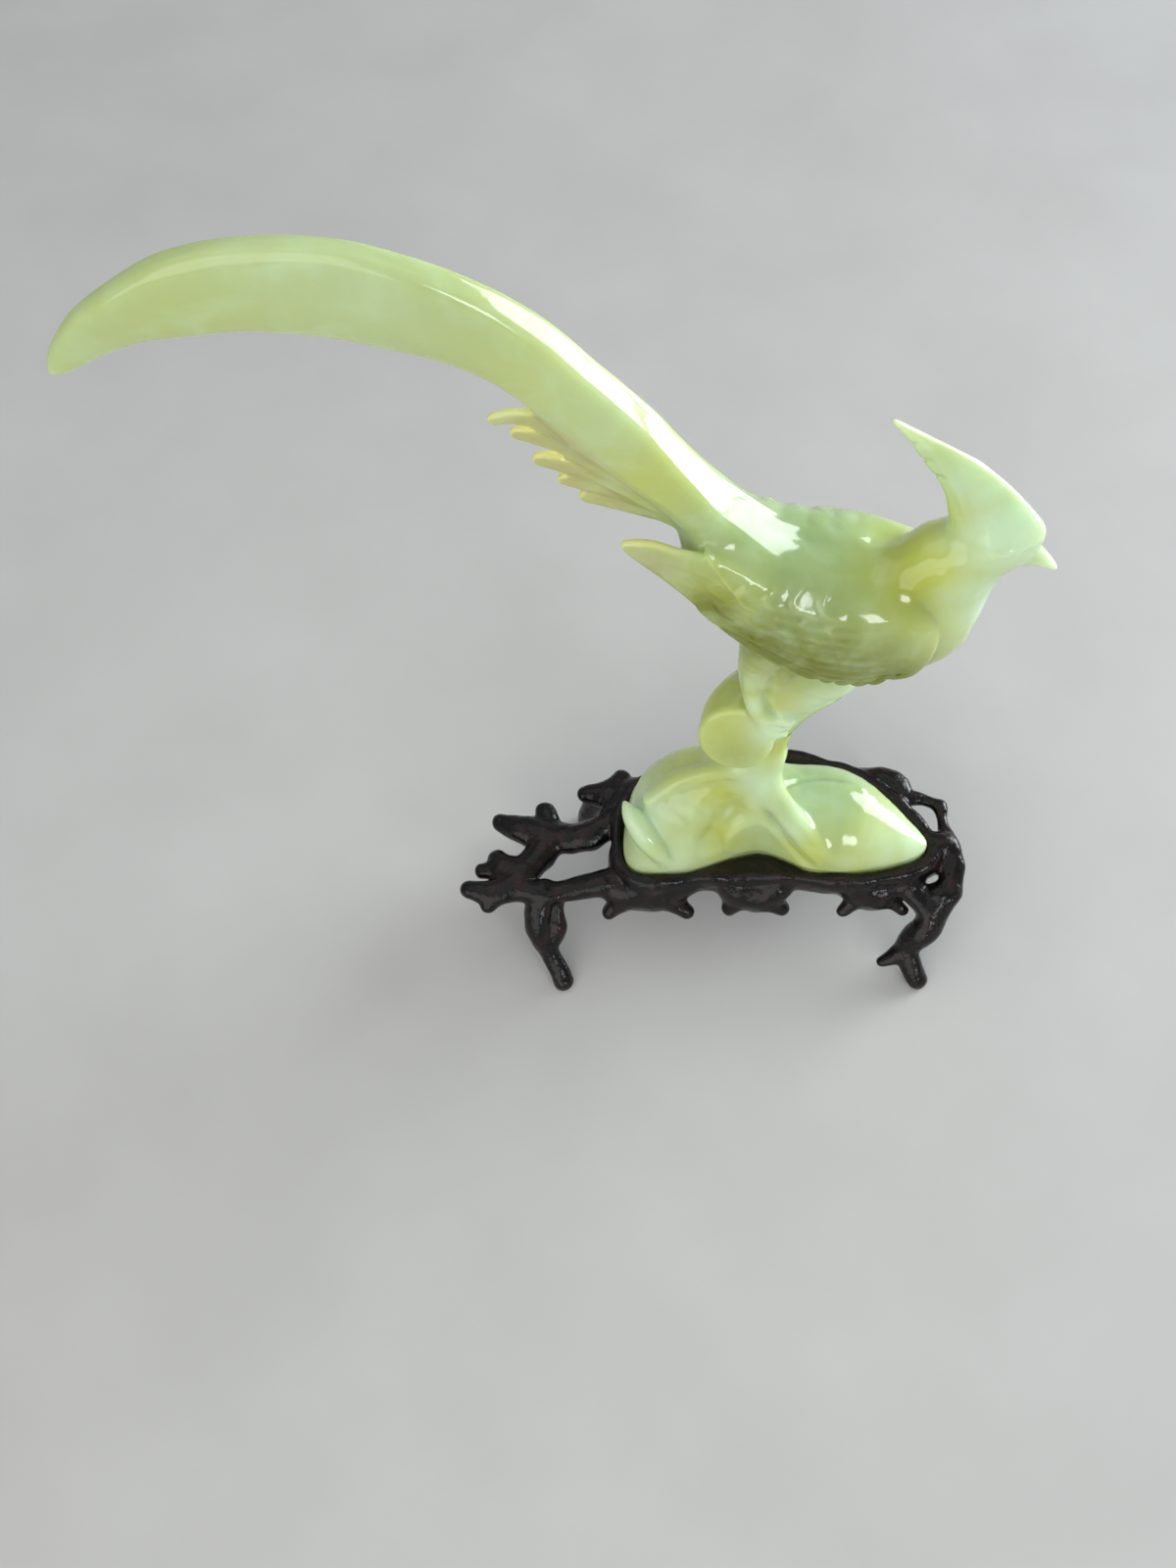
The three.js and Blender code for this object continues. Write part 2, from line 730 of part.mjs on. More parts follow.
// The part's origin is under the middle of its bounding box, on the floor.
const bounds = new THREE.Box3().setFromObject(figurine);
figurine.position.set(-(bounds.min.x + bounds.max.x) / 2, -(bounds.min.y + bounds.max.y) / 2, -bounds.min.z);

export default figurine;
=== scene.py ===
"""A carved jade bird with a long arched tail, on a rock in a carved dark wood stand.

The tables are in millimetres, with the floor at z = 0. The bird faces +X and shows its right side to -Y.
Each form is built as a field of distances on an even grid, negative inside, and the whole is then skinned.
"""
import math

import bpy
import numpy as np
from mathutils import Matrix, Vector


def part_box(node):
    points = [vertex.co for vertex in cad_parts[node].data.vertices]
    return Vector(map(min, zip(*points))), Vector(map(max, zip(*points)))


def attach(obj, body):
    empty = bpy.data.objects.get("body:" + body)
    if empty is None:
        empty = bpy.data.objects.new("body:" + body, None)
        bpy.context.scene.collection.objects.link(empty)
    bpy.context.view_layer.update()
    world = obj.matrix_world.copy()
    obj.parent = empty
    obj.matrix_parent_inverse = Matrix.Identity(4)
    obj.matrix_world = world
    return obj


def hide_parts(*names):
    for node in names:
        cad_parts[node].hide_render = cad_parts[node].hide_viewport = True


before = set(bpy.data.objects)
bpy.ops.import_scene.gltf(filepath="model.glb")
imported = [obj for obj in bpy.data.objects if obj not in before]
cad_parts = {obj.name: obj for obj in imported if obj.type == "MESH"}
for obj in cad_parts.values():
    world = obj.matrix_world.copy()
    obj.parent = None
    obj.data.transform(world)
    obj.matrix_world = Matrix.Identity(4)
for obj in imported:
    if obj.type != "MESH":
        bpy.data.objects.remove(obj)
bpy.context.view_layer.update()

PITCH = 0.5  # spacing of the grid
FAR = 5.0  # distances are kept within this
MOST_TRIANGLES = 190_000  # in one piece

# The corners that the tables draw each solid to. They are set onto the solid's own box in the frame.
DRAWN_JADE = [(-135.2, -18.2, 24.7), (67.1, 18.0, 238.2)]
DRAWN_STAND = [(-75.9, -40.4, 0.0), (60.8, 23.4, 29.1)]

TAIL_THICKNESS = 7.0
FEATHER_THICKNESS = 2.4
WING_RELIEF = 1.7
WING_LIFT = 0.5  # the wings stand out from the back by this, and from the sides by the relief as well
BACK_HALF_WIDTH = 8.0
WING_TIP_THICKNESS = 3.2
CREST_THICKNESS = 6.0
STAND_HEIGHT = 28.0
SEAT_DEPTH = 3.6
SEAT_GAP = 0.3
BRANCH_THICKNESS = 7.0
LEG_THICKNESS = 7.4
FOOT_THICKNESS = 5.2
RIM_HALF_WIDTH = 2.1
RIM_HALF_HEIGHT = 4.2
RIM_MIDDLE = 0.855  # the rim's middle and the deck's top, as shares of the stand's height
DECK_TOP = 0.93
DECK_THICKNESS = 3.4  # below the seat
JADE_WAVES = [(9, 0.16, 3), (3.6, 0.07, 4)]  # scale, height and seed of each
WOOD_KNOBS = [(4.6, 0.75, 7), (2, 0.3, 8)]
SEAT_LEVEL = STAND_HEIGHT - SEAT_DEPTH
ROCK_BOTTOM = SEAT_LEVEL + SEAT_GAP


# Fields of distances.
def smooth_min(a, b, blend):
    """The lower of two fields, with the corner between them filled over the width of blend."""
    if blend <= 0:
        return np.minimum(a, b)
    share = np.clip(0.5 + 0.5 * (b - a) / blend, 0, 1)
    return b + (a - b) * share - blend * share * (1 - share)


def smooth_max(a, b, blend):
    return -smooth_min(-a, -b, blend)


class Field:
    """Distances to a form on the part of the common grid between two corners."""

    def __init__(self, low, high):
        self.first = np.floor(np.array(low, float) / PITCH).astype(int)
        self.size = np.ceil(np.array(high, float) / PITCH).astype(int) + 1 - self.first
        self.values = np.full(self.size, FAR, np.float32)

    def line(self, axis):
        """The grid's coordinates along one axis."""
        return (PITCH * (self.first[axis] + np.arange(self.size[axis]))).astype(np.float32)

    def grid(self):
        return self.line(0)[:, None, None], self.line(1)[None, :, None], self.line(2)[None, None, :]

    def side_view(self):
        """The grid's x and z as two flat arrays."""
        return np.meshgrid(self.line(0), self.line(2), indexing="ij")

    def part(self, low, high):
        """The slices of this field between two corners."""
        start = np.clip(np.floor(np.array(low) / PITCH).astype(int) - self.first, 0, self.size)
        stop = np.clip(np.ceil(np.array(high) / PITCH).astype(int) + 1 - self.first, 0, self.size)
        return tuple(slice(a, b) for a, b in zip(start, stop))

    def add(self, other, blend):
        offset = other.first - self.first
        part = tuple(slice(o, o + n) for o, n in zip(offset, other.size))
        self.values[part] = smooth_min(self.values[part], other.values, blend)

    def settle(self):
        """Turn values that only rise outwards into distances near the surface."""
        slopes = np.gradient(self.values, PITCH)
        steep = np.sqrt(sum(slope * slope for slope in slopes))
        self.values = np.clip(self.values / np.maximum(steep, 1e-4), -FAR, FAR).astype(np.float32)


def joined(parts, blend=0.0):
    """One field over several, each a field or a pair of a field and its own blend."""
    pairs = [part if isinstance(part, tuple) else (part, blend) for part in parts]
    low = np.min([part.first for part, own in pairs], axis=0)
    high = np.max([part.first + part.size - 1 for part, own in pairs], axis=0)
    whole = Field(low * PITCH, high * PITCH)
    for part, own in pairs:
        whole.add(part, own)
    return whole


def eased(rows, steps, closed=False):
    """Rows of numbers, eased through with a Catmull-Rom curve: steps new rows for each gap."""
    rows = np.array(rows, float)
    count = len(rows)
    out = []
    for i in range(count if closed else count - 1):
        if closed:
            p, q, r, s = (rows[(i + k) % count] for k in (-1, 0, 1, 2))
        else:
            p, q, r, s = (rows[min(max(i + k, 0), count - 1)] for k in (-1, 0, 1, 2))
        for t in np.arange(steps) / steps:
            bend = 2 * p - 5 * q + 4 * r - s
            out.append(q + 0.5 * t * (r - p + t * (bend + t * (3 * (q - r) + s - p))))
    if not closed:
        out.append(rows[-1])
    return np.array(out)


def limb(rows, steps=4, squash=(1, 1, 1)):
    """A limb through rows of middle (x, y, z) and radius. squash scales the radius along x, y and z."""
    line = eased(rows, steps)
    reach = line[:, 3:4] * np.array(squash) + FAR
    field = Field((line[:, :3] - reach).min(0), (line[:, :3] + reach).max(0))
    thin = min(squash)
    for a, b in zip(line[:-1], line[1:]):
        low = np.minimum(a[:3] - reach.max(0), b[:3] - reach.max(0))
        high = np.maximum(a[:3] + reach.max(0), b[:3] + reach.max(0))
        part = field.part(low, high)
        x, y, z = (field.line(axis)[part[axis]] for axis in range(3))
        x, y, z = x[:, None, None] - a[0], y[None, :, None] - a[1], z[None, None, :] - a[2]
        along = b[:3] - a[:3]
        t = np.clip((x * along[0] + y * along[1] + z * along[2]) / max(along @ along, 1e-9), 0, 1)
        away = np.sqrt(
            ((x - t * along[0]) / squash[0]) ** 2
            + ((y - t * along[1]) / squash[1]) ** 2
            + ((z - t * along[2]) / squash[2]) ** 2
        )
        away = (away - a[3] - (b[3] - a[3]) * t) * thin
        field.values[part] = np.minimum(field.values[part], away)
    return field


def nearest(line, x, z):
    """How far each (x, z) is from a line of points, and where along the line its nearest place is."""
    best = np.full(x.shape, 1e9)
    place = np.zeros(x.shape)
    for i, (a, b) in enumerate(zip(line[:-1], line[1:])):
        along = b - a
        t = np.clip(((x - a[0]) * along[0] + (z - a[1]) * along[1]) / max(along @ along, 1e-9), 0, 1)
        away = (x - a[0] - t * along[0]) ** 2 + (z - a[1] - t * along[1]) ** 2
        near = away < best
        best[near] = away[near]
        place[near] = i + t[near]
    return np.sqrt(best), place


def within(points, x, z):
    """Whether each (x, z) lies inside a closed outline."""
    inside = np.zeros(x.shape, bool)
    for a, b in zip(points, np.roll(points, -1, axis=0)):
        if a[1] == b[1]:
            continue
        crosses = (a[1] > z) != (b[1] > z)
        inside ^= crosses & (x < a[0] + (z - a[1]) * (b[0] - a[0]) / (b[1] - a[1]))
    return inside


def from_outline(points, x, z):
    """Distance to a closed outline, negative inside it."""
    away = nearest(np.vstack([points, points[:1]]), x, z)[0]
    return np.where(within(points, x, z), -away, away)


def blade(rows, steps=4, power=2.0, lean=0.0):
    """A blade through rows of upper edge (x, z), lower edge (x, z), half thickness, the middle's y, and how
    square its upper half is, from 0 to 1.

    A power below 2 draws the two long edges sharper. lean slopes a square upper edge down towards -Y.
    """
    line = eased([[*row, 0, 0][:7] for row in rows], steps)
    upper, lower = line[:, 0:2], line[:, 2:4]
    around = np.vstack([upper, lower[::-1]])
    low, high = around.min(0) - FAR, around.max(0) + FAR
    deep = line[:, 4].max() + FAR
    field = Field((low[0], line[:, 5].min() - deep, low[1]), (high[0], line[:, 5].max() + deep, high[1]))
    x, z = field.side_view()
    up, up_place = nearest(upper, x, z)
    down, down_place = nearest(lower, x, z)
    outside = from_outline(around, x, z)
    width = np.maximum(up + down, 1e-6)
    place = (up_place * down + down_place * up) / width
    rise = (down - up) / width
    rise = np.where(outside > 0, np.where(rise > 0, 1, -1) * (1 + 2 * outside / width), rise)
    at = np.arange(len(line))
    thick, middle, square = (np.interp(place, at, line[:, n])[:, None, :] for n in (4, 5, 6))
    square = np.where(rise[:, None, :] > 0, np.clip(square, 0, 1), 0)
    y = field.line(1)[None, :, None] - middle
    rise = rise[:, None, :] - 2 * lean * square * y / width[:, None, :]
    sharp = 3 * square
    value = np.abs(y / thick) ** (power + sharp) + np.abs(rise) ** (2 + sharp) - 1
    field.values = value.astype(np.float32)
    field.settle()
    return field


def smooth_noise(field, scale, seed):
    """Even, seeded bumps over a field's grid, about scale across and between -1 and 1."""
    low = field.first * PITCH
    count = np.ceil(field.size * PITCH / scale).astype(int) + 4
    knots = np.random.default_rng(seed).uniform(-1, 1, count).astype(np.float32)
    for axis in range(3):
        at = (field.line(axis) - low[axis]) / scale
        whole = np.floor(at).astype(int)
        t = at - whole
        spread = np.zeros((field.size[axis], count[axis]), np.float32)
        rows = np.arange(field.size[axis])
        spread[rows, whole] = (1 - t) ** 3 / 6
        spread[rows, whole + 1] = (3 * t**3 - 6 * t**2 + 4) / 6
        spread[rows, whole + 2] = (-3 * t**3 + 3 * t**2 + 3 * t + 1) / 6
        spread[rows, whole + 3] = t**3 / 6
        knots = np.moveaxis(np.tensordot(spread, knots, (1, axis)), 0, axis)
    return 1.9 * knots


def softened(values):
    """The field with each value averaged a little with its neighbours."""
    for axis in range(3):
        inner = [slice(None)] * 3
        before, after = list(inner), list(inner)
        inner[axis], before[axis], after[axis] = slice(1, -1), slice(0, -2), slice(2, None)
        fresh = values.copy()
        beside = values[tuple(before)] + values[tuple(after)]
        fresh[tuple(inner)] = 0.5 * values[tuple(inner)] + 0.25 * beside
        values = fresh
    return values


def roughened(field, waves):
    """Lay seeded bumps over a field, and soften it. Each wave is its scale, its height and its seed."""
    bumps = sum(height * smooth_noise(field, scale, seed) for scale, height, seed in waves)
    field.values = softened(field.values + bumps.astype(np.float32))


# Skinning.
CORNERS = np.array([(i, j, k) for i in (0, 1) for j in (0, 1) for k in (0, 1)])
EDGES = [(a, b) for a in range(8) for b in range(a + 1, 8) if np.abs(CORNERS[a] - CORNERS[b]).sum() == 1]


def sampled(field, points):
    """The field's value at any points, in millimetres."""
    at = points / PITCH - field.first
    whole = np.clip(np.floor(at).astype(int), 0, field.size - 2)
    t = np.clip(at - whole, 0, 1)
    total = np.zeros(len(points))
    for corner in CORNERS:
        share = np.prod(np.where(corner, t, 1 - t), axis=1)
        i, j, k = (whole + corner).T
        total += share * field.values[i, j, k]
    return total


def slope(field, points):
    """The direction in which the field rises at each point."""
    out = np.zeros(points.shape)
    for axis in range(3):
        step = np.zeros(3)
        step[axis] = 0.8 * PITCH
        out[:, axis] = (sampled(field, points + step) - sampled(field, points - step)) / (1.6 * PITCH)
    return out


def skinned(field):
    """Points and four-sided faces of the surface where the field is zero."""
    values = field.values
    inside = values < 0
    cells = np.array(values.shape) - 1
    count = np.zeros(cells, np.uint8)
    for i, j, k in CORNERS:
        count += inside[i : i + cells[0], j : j + cells[1], k : k + cells[2]]
    cell = np.argwhere((count > 0) & (count < 8))
    number = np.full(cells, -1, np.int32)
    number[tuple(cell.T)] = np.arange(len(cell))
    corner = np.array([values[tuple((cell + c).T)] for c in CORNERS])
    total = np.zeros((len(cell), 3))
    crossings = np.zeros(len(cell))
    for a, b in EDGES:
        crosses = (corner[a] < 0) != (corner[b] < 0)
        gap = np.where(crosses, corner[a] - corner[b], 1)
        t = np.where(crosses, corner[a] / gap, 0)[:, None]
        total += crosses[:, None] * (CORNERS[a] + t * (CORNERS[b] - CORNERS[a]))
        crossings += crosses
    points = (cell + total / crossings[:, None] + field.first) * PITCH
    faces = []
    for axis in range(3):
        step = np.zeros(3, int)
        step[axis] = 1
        others = [other for other in range(3) if other != axis]
        low = np.zeros(3, int)
        low[others] = 1
        high = np.array(values.shape) - 1
        here = inside[tuple(slice(l, h) for l, h in zip(low, high))]
        there = inside[tuple(slice(l + s, h + s) for l, h, s in zip(low, high, step))]
        at = np.argwhere(here != there) + low
        back = [np.zeros(3, int) for n in range(4)]
        back[1][others[0]] = back[2][others[0]] = 1
        back[2][others[1]] = back[3][others[1]] = 1
        ring = np.array([number[tuple((at - b).T)] for b in back]).T
        outward = inside[tuple(at.T)]
        if axis == 1:
            outward = ~outward
        faces.append(np.where(outward[:, None], ring, ring[:, ::-1]))
    for n in range(2):
        rise = slope(field, points)
        steep = np.maximum((rise * rise).sum(1), 0.05)
        move = np.clip(sampled(field, points) / steep, -0.5 * PITCH, 0.5 * PITCH)
        points = points - move[:, None] * rise
    return points, np.vstack(faces)


def largest(points, faces):
    """Only the biggest connected body of a skin."""
    label = np.arange(len(points))
    while True:
        low = label[faces].min(1)
        fresh = label.copy()
        for n in range(4):
            np.minimum.at(fresh, faces[:, n], low)
        fresh = fresh[fresh]
        if (fresh == label).all():
            break
        label = fresh
    kept = label == np.bincount(label).argmax()
    renumber = np.cumsum(kept) - 1
    return points[kept], renumber[faces[kept[faces[:, 0]]]]


def mesh_piece(name, field, drawn, node):
    """A mesh of a field, thinned to its triangle limit, with the field's own normals.

    The object is given with its points as drawn, in millimetres, and their normals.
    """
    points, faces = largest(*skinned(field))
    mesh = bpy.data.meshes.new(name)
    mesh.from_pydata(points.tolist(), [], faces.tolist())
    raw = bpy.data.objects.new(name + "_raw", mesh)
    bpy.context.scene.collection.objects.link(raw)
    if 2 * len(faces) > MOST_TRIANGLES:
        thinner = raw.modifiers.new("thinner", "DECIMATE")
        thinner.ratio = MOST_TRIANGLES / (2 * len(faces))
    shown = raw.evaluated_get(bpy.context.evaluated_depsgraph_get())
    final = bpy.data.meshes.new_from_object(shown)
    bpy.data.objects.remove(raw)
    final.name = name
    at = np.empty(3 * len(final.vertices))
    final.vertices.foreach_get("co", at)
    at = at.reshape(-1, 3)
    normals = slope(field, at)
    normals /= np.maximum(np.linalg.norm(normals, axis=1, keepdims=True), 1e-6)
    low, high = (np.array(corner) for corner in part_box(node))
    drawn_low, drawn_high = (np.array(corner) for corner in drawn)
    placed = low + (at - drawn_low) * (high - low) / (drawn_high - drawn_low)
    final.vertices.foreach_set("co", placed.ravel())
    final.polygons.foreach_set("use_smooth", np.ones(len(final.polygons), bool))
    final.update()
    final.normals_split_custom_set_from_vertices(normals.tolist())
    piece = bpy.data.objects.new(name, final)
    bpy.context.scene.collection.objects.link(piece)
    print(name, len(faces), "faces,", len(final.polygons), "after thinning")
    return piece, at, normals


def painted(piece, name, values):
    """Keep a value for each vertex, which a material reads by its name."""
    layer = piece.data.attributes.new(name, "FLOAT", "POINT")
    layer.data.foreach_set("value", np.asarray(values, np.float32))


# The bird.
def tail():
    half = TAIL_THICKNESS / 2
    rows = [
        [-135.2, 207.6, -134.7, 206.6, 0.25 * half, 0, 0],
        [-132.8, 213.5, -131, 207.2, 0.5 * half, 0, 0.3],
        [-126.5, 221.6, -124.5, 210.8, 0.75 * half, 0, 0.5],
        [-117.4, 228.7, -115.3, 214.4, 0.9 * half, 0, 0.5],
        [-106.5, 234.8, -105, 215.9, half, 0, 0.5],
        [-92.5, 238, -93.5, 216.4, half, 0, 0.5],
        [-77.1, 237.4, -80, 214.3, half, 0, 0.5],
        [-62.7, 231.9, -67.5, 210.7, 1.05 * half, 0, 0.6],
        [-50.4, 224.3, -57.5, 206.2, 1.1 * half, 0, 0.8],
        [-40.2, 214.8, -48.5, 199.5, 1.2 * half, 0, 1],
        [-30.7, 202.5, -39.5, 187.5, 1.3 * half, 0, 1],
        [-20.6, 188.9, -29.5, 174, 1.4 * half, 0, 1],
        [-11.9, 174.4, -18.6, 161.8, 1.6 * half, 0, 1],
        [-3.7, 162.5, -12.5, 148, 2.1 * half, 0, 0.8],
        [6.4, 152.6, -7, 132, 2.6 * half, 0, 0.4],
        [16.9, 143.9, 4, 128, 2.2 * half, 0, 0],
    ]
    return blade(rows, steps=6, power=1.6, lean=0.2)


# Five short feathers fan out under the root of the tail.
# Each middle line (x, z) runs from its tip to its root.
FEATHERS = [
    [(-52.8, 190.8), (-47.5, 191.7), (-43.5, 190.4), (-38, 186), (-28, 176), (-16, 163)],
    [(-48.7, 187), (-45.4, 186.6), (-41, 184.6), (-35.4, 180.3), (-26, 172), (-15, 161)],
    [(-44.8, 179), (-41.5, 178.6), (-37.6, 176.8), (-31.9, 172.8), (-24, 167.5), (-15, 160)],
    [(-40.1, 172.6), (-35.9, 171.8), (-32, 170.1), (-26, 166.6), (-20, 163), (-14, 159)],
    [(-36, 167), (-32.1, 166.4), (-28.1, 164.8), (-22.1, 162.4), (-17, 161.2), (-11, 160)],
]
# Along a feather: the point of its middle line, half its width, and its share of the full thickness.
FEATHER_STATIONS = [
    (0, 0.5, 0.5),
    (0.25, 1.5, 0.8),
    (1, 2.1, 1),
    (2, 2.4, 1.1),
    (3, 2.5, 1.3),
    (4, 2.4, 2.2),
    (5, 2, 3),
]


def feather_rows(points):
    points = np.array(points, float)
    rows = []
    for at, wide, thick in FEATHER_STATIONS:
        i = min(int(at), len(points) - 2)
        along = points[i + 1] - points[i]
        middle = points[i] + (at - i) * along
        across = wide * np.array([along[1], -along[0]]) / np.linalg.norm(along)
        rows.append([*(middle - across), *(middle + across), thick * FEATHER_THICKNESS / 2])
    return rows


def tail_feathers():
    return joined([blade(feather_rows(points), steps=4, power=2.2) for points in FEATHERS], 0.4)


# Along the body: x, the middle's z, half its height and half its width.
BODY = [
    [-15, 152.6, 5, 4],
    [-10, 147.6, 12.6, 8.6],
    [-2, 140.5, 16, 13],
    [6, 134.5, 17.4, 15],
    [15, 129.8, 18.8, 16.3],
    [25, 126.8, 18.6, 16.2],
    [33, 124.6, 15.8, 13.8],
    [40, 124.4, 11.6, 10.6],
    [46, 124, 7.4, 7],
    [49.6, 124.5, 2.6, 2.6],
]


def body_shell(back=0, side=0):
    """Upright ellipses along the body, moved outwards by one distance on the back, another at the sides."""
    rows = eased(BODY, 6)
    field = Field((-24, -24, 98), (56, 24, 168))
    x, y, z = field.grid()
    middle, high, wide = (np.interp(x, rows[:, 0], rows[:, n]) for n in (1, 2, 3))
    outwards = back + (side - back) * np.clip(np.abs(y) / BACK_HALF_WIDTH, 0, 1)
    round_value = np.sqrt(((z - middle) / (high + outwards)) ** 2 + (y / (wide + outwards)) ** 2) - 1
    past = np.maximum(BODY[0][0] - x, x - BODY[-1][0]) / 4
    field.values = np.maximum(round_value, past).astype(np.float32)
    field.settle()
    return field


# The wings' outline in side view, from the root of the neck and down the shoulder.
WING_OUTLINE = [
    (26.5, 149),
    (31.5, 143.4),
    (37, 139.8),
    (40.6, 136),
    (41.6, 131.6),
    (41, 126.6),
    (39.2, 121.6),
    (35.2, 117.8),
    (29, 116.2),
    (21, 117.4),
    (13, 120),
    (4, 122.5),
    (-4, 128),
    (-12, 141),
    (-17, 150),
    (-15, 162),
    (2, 160),
    (15, 156),
]
# The raised shoulder of the bird's left wing.
SHOULDER = [
    [18, 9.5, 137.4, 5],
    [27, 9.6, 136, 5.4],
    [34, 9.4, 133, 5.6],
    [37.4, 9.6, 128, 5.2],
    [36, 9.8, 121.4, 4.2],
]


def folded_wings():
    """The body's shell, a little larger, inside the wings' outline, with a raised shoulder on each side."""
    shell = body_shell(WING_LIFT, WING_RELIEF + WING_LIFT)
    shoulders = [limb([[x, side * y, z, radius] for x, y, z, radius in SHOULDER]) for side in (-1, 1)]
    for shoulder in shoulders:
        shell.add(shoulder, 5)
    x, z = shell.side_view()
    outline = from_outline(eased(WING_OUTLINE, 4, closed=True), x, z)[:, None, :]
    shell.values = smooth_max(shell.values, outline, 1.2).astype(np.float32)
    return shell


def wing_tip_rows():
    """A wing's tip as a blade: upper edge, lower edge, half thickness and how far it is from the middle."""
    half = WING_TIP_THICKNESS / 2
    return [
        [-27.4, 162.6, -27.6, 161, 0.5 * half, 9],
        [-25, 163, -25.6, 157.8, 0.8 * half, 9],
        [-20.5, 162.4, -20.4, 151.4, half, 9],
        [-14, 160, -13, 142, half, 9.6],
        [-5, 156, -4, 132, 1.2 * half, 10.6],
        [4, 148, 4, 130, 1.6 * half, 11],
    ]


def wing_tip(side):
    return blade([[*row[:5], side * row[5]] for row in wing_tip_rows()], steps=4, power=2.2)


def neck():
    rows = [
        [37.4, 0, 123.4, 13.2],
        [39.6, 0, 130, 12.8],
        [43.5, 0, 138.5, 10.4],
        [47.3, 0, 146, 8.6],
        [51, 0, 150.5, 7.8],
    ]
    return limb(rows, steps=5, squash=(1, 0.94, 1))


def neck_root():
    """The nape runs down over the shoulders into the back."""
    near = [[20, -2.4, 134, 7], [28, -2.6, 137.6, 6.8], [34, -2.4, 140.6, 6.8], [40, -1.8, 145, 6.8]]
    far = [[20, 2.4, 132.4, 6.4], [28, 2.6, 134.8, 5.6], [34, 2.4, 137.4, 5.2], [40, 1.8, 143, 6]]
    return joined([limb(near), limb(far)], 2.0)


def cheek():
    return limb([[50, 0, 149, 8.6], [55, 0, 148.5, 6.6]], steps=3, squash=(1, 0.8, 1))


def beak():
    rows = [
        [54, 153, 52, 141.4, 4.8],
        [59.8, 149.6, 58, 141.6, 3.3],
        [63, 145.4, 62.2, 140.9, 2],
        [65.6, 141.6, 65.2, 139.3, 1.1],
        [67.1, 138.7, 66.9, 138.1, 0.4],
    ]
    return blade(rows, steps=5, power=2)


def crest():
    thick = CREST_THICKNESS / 2
    rows = [
        [25.2, 189.4, 25.9, 188.2, 0.2 * thick],
        [31.6, 184.8, 29.8, 182.6, 0.4 * thick],
        [39.4, 179.2, 33.4, 176.4, 0.6 * thick],
        [46.4, 173.6, 36.8, 170.6, 0.8 * thick],
        [52.8, 166.6, 39.4, 164.6, thick],
        [58.2, 159.4, 41, 158, 1.35 * thick],
        [61.8, 152.6, 44, 150, 1.5 * thick],
        [60, 149.5, 48, 146, thick],
    ]
    return blade(rows, steps=5, power=1.8)


def legs_of_bird():
    near = [
        [4, -5.6, 120, 6],
        [1.2, -7, 111, 3.4],
        [1.6, -8.4, 102, 2.5],
        [3, -9, 96, 2.4],
        [5.4, -9, 91, 2.2],
        [7.4, -7.8, 87, 1.9],
    ]
    far = [
        [4, 5.6, 120, 6.4],
        [3, 6.2, 108, 4],
        [5, 7.6, 96, 2.8],
        [9, 6.6, 88, 2.4],
    ]
    toes = []
    for n in (-1, 0, 1):
        heel = [4.4, -10, 93.4 + 1.6 * n, 1.9]
        knuckle = [8 + n, -10.6, 91 + 2.2 * n, 1.7]
        claw = [10.8 + n, -8.8, 87.4 + 2.8 * n, 1]
        toes.append(limb([heel, knuckle, claw]))
    return joined([limb(near), limb(far), joined(toes, 0.3)], 0.8)


def trunk():
    """The cut branch, and the jade left standing between it and the legs."""
    rows = [
        [-1, 0, 54, 7.6],
        [4.6, 0, 62, 6],
        [7, 0, 73, 5.8],
        [8.6, 0, 83, 6.6],
        [11.4, 0, 93, 9],
        [16.8, 0.6, 104, 11.6],
    ]
    web = [[7, -3.6, 117, 8], [6.8, -3.4, 105, 7.2], [7.4, -2.8, 94, 6.6], [7, -1.6, 84, 6]]
    return joined([(limb(rows, steps=5), 0), (limb(web), 4)])


def stub():
    """The sawn stub of a side branch, with a flat face."""
    rows = [
        [5, 3, 85.6, 8.4],
        [0, -3.4, 86.2, 9.2],
        [-1.8, -9, 86.5, 9.4],
        [-2.6, -16, 88.4, 9],
    ]
    field = limb(rows, steps=4)
    face = np.array([-2.3, -12.2, 87.2])
    way = np.array([-0.12, -0.93, 0.35])
    x, y, z = field.grid()
    past = (x - face[0]) * way[0] + (y - face[1]) * way[1] + (z - face[2]) * way[2]
    field.values = smooth_max(field.values, past, 1.6).astype(np.float32)
    return field


# The rock's outline in plan, from its left end round by the front.
ROCK_PLAN = [
    (-31.4, -8),
    (-30.4, -15),
    (-26, -18),
    (-17, -17.6),
    (-8, -15.6),
    (-1, -12.8),
    (5.4, -11.6),
    (12, -14),
    (19, -17.4),
    (29, -18.2),
    (39, -16.8),
    (47, -14.2),
    (50.6, -10.6),
    (49, -6.6),
    (42, 0.6),
    (34, 7),
    (24, 12.4),
    (8, 15.6),
    (-10, 15),
    (-22, 11),
    (-29.4, 2),
]


def off_rock_plan(field, share=1.0):
    """Distance from the rock's outline in plan, drawn larger or smaller, over a field's grid."""
    x, y = np.meshgrid(field.line(0), field.line(1), indexing="ij")
    return share * from_outline(eased(ROCK_PLAN, 4, closed=True), x / share, y / share)


def rock_foot():
    """The rock's foot fills the seat and rises from the rim as a low hill."""
    layers = [(ROCK_BOTTOM, 1), (SEAT_LEVEL + SEAT_DEPTH, 1), (32.7, 0.88), (37.7, 0.66), (41.7, 0.3)]
    field = Field((-38, -25, 18), (57, 22, 49))
    z = field.line(2)
    shares = np.interp(z, [level for level, share in layers], [share for level, share in layers])
    for n, share in enumerate(shares):
        field.values[:, :, n] = off_rock_plan(field, share)
    field.values = smooth_max(field.values, (z - layers[-1][0])[None, None, :], 3).astype(np.float32)
    return field


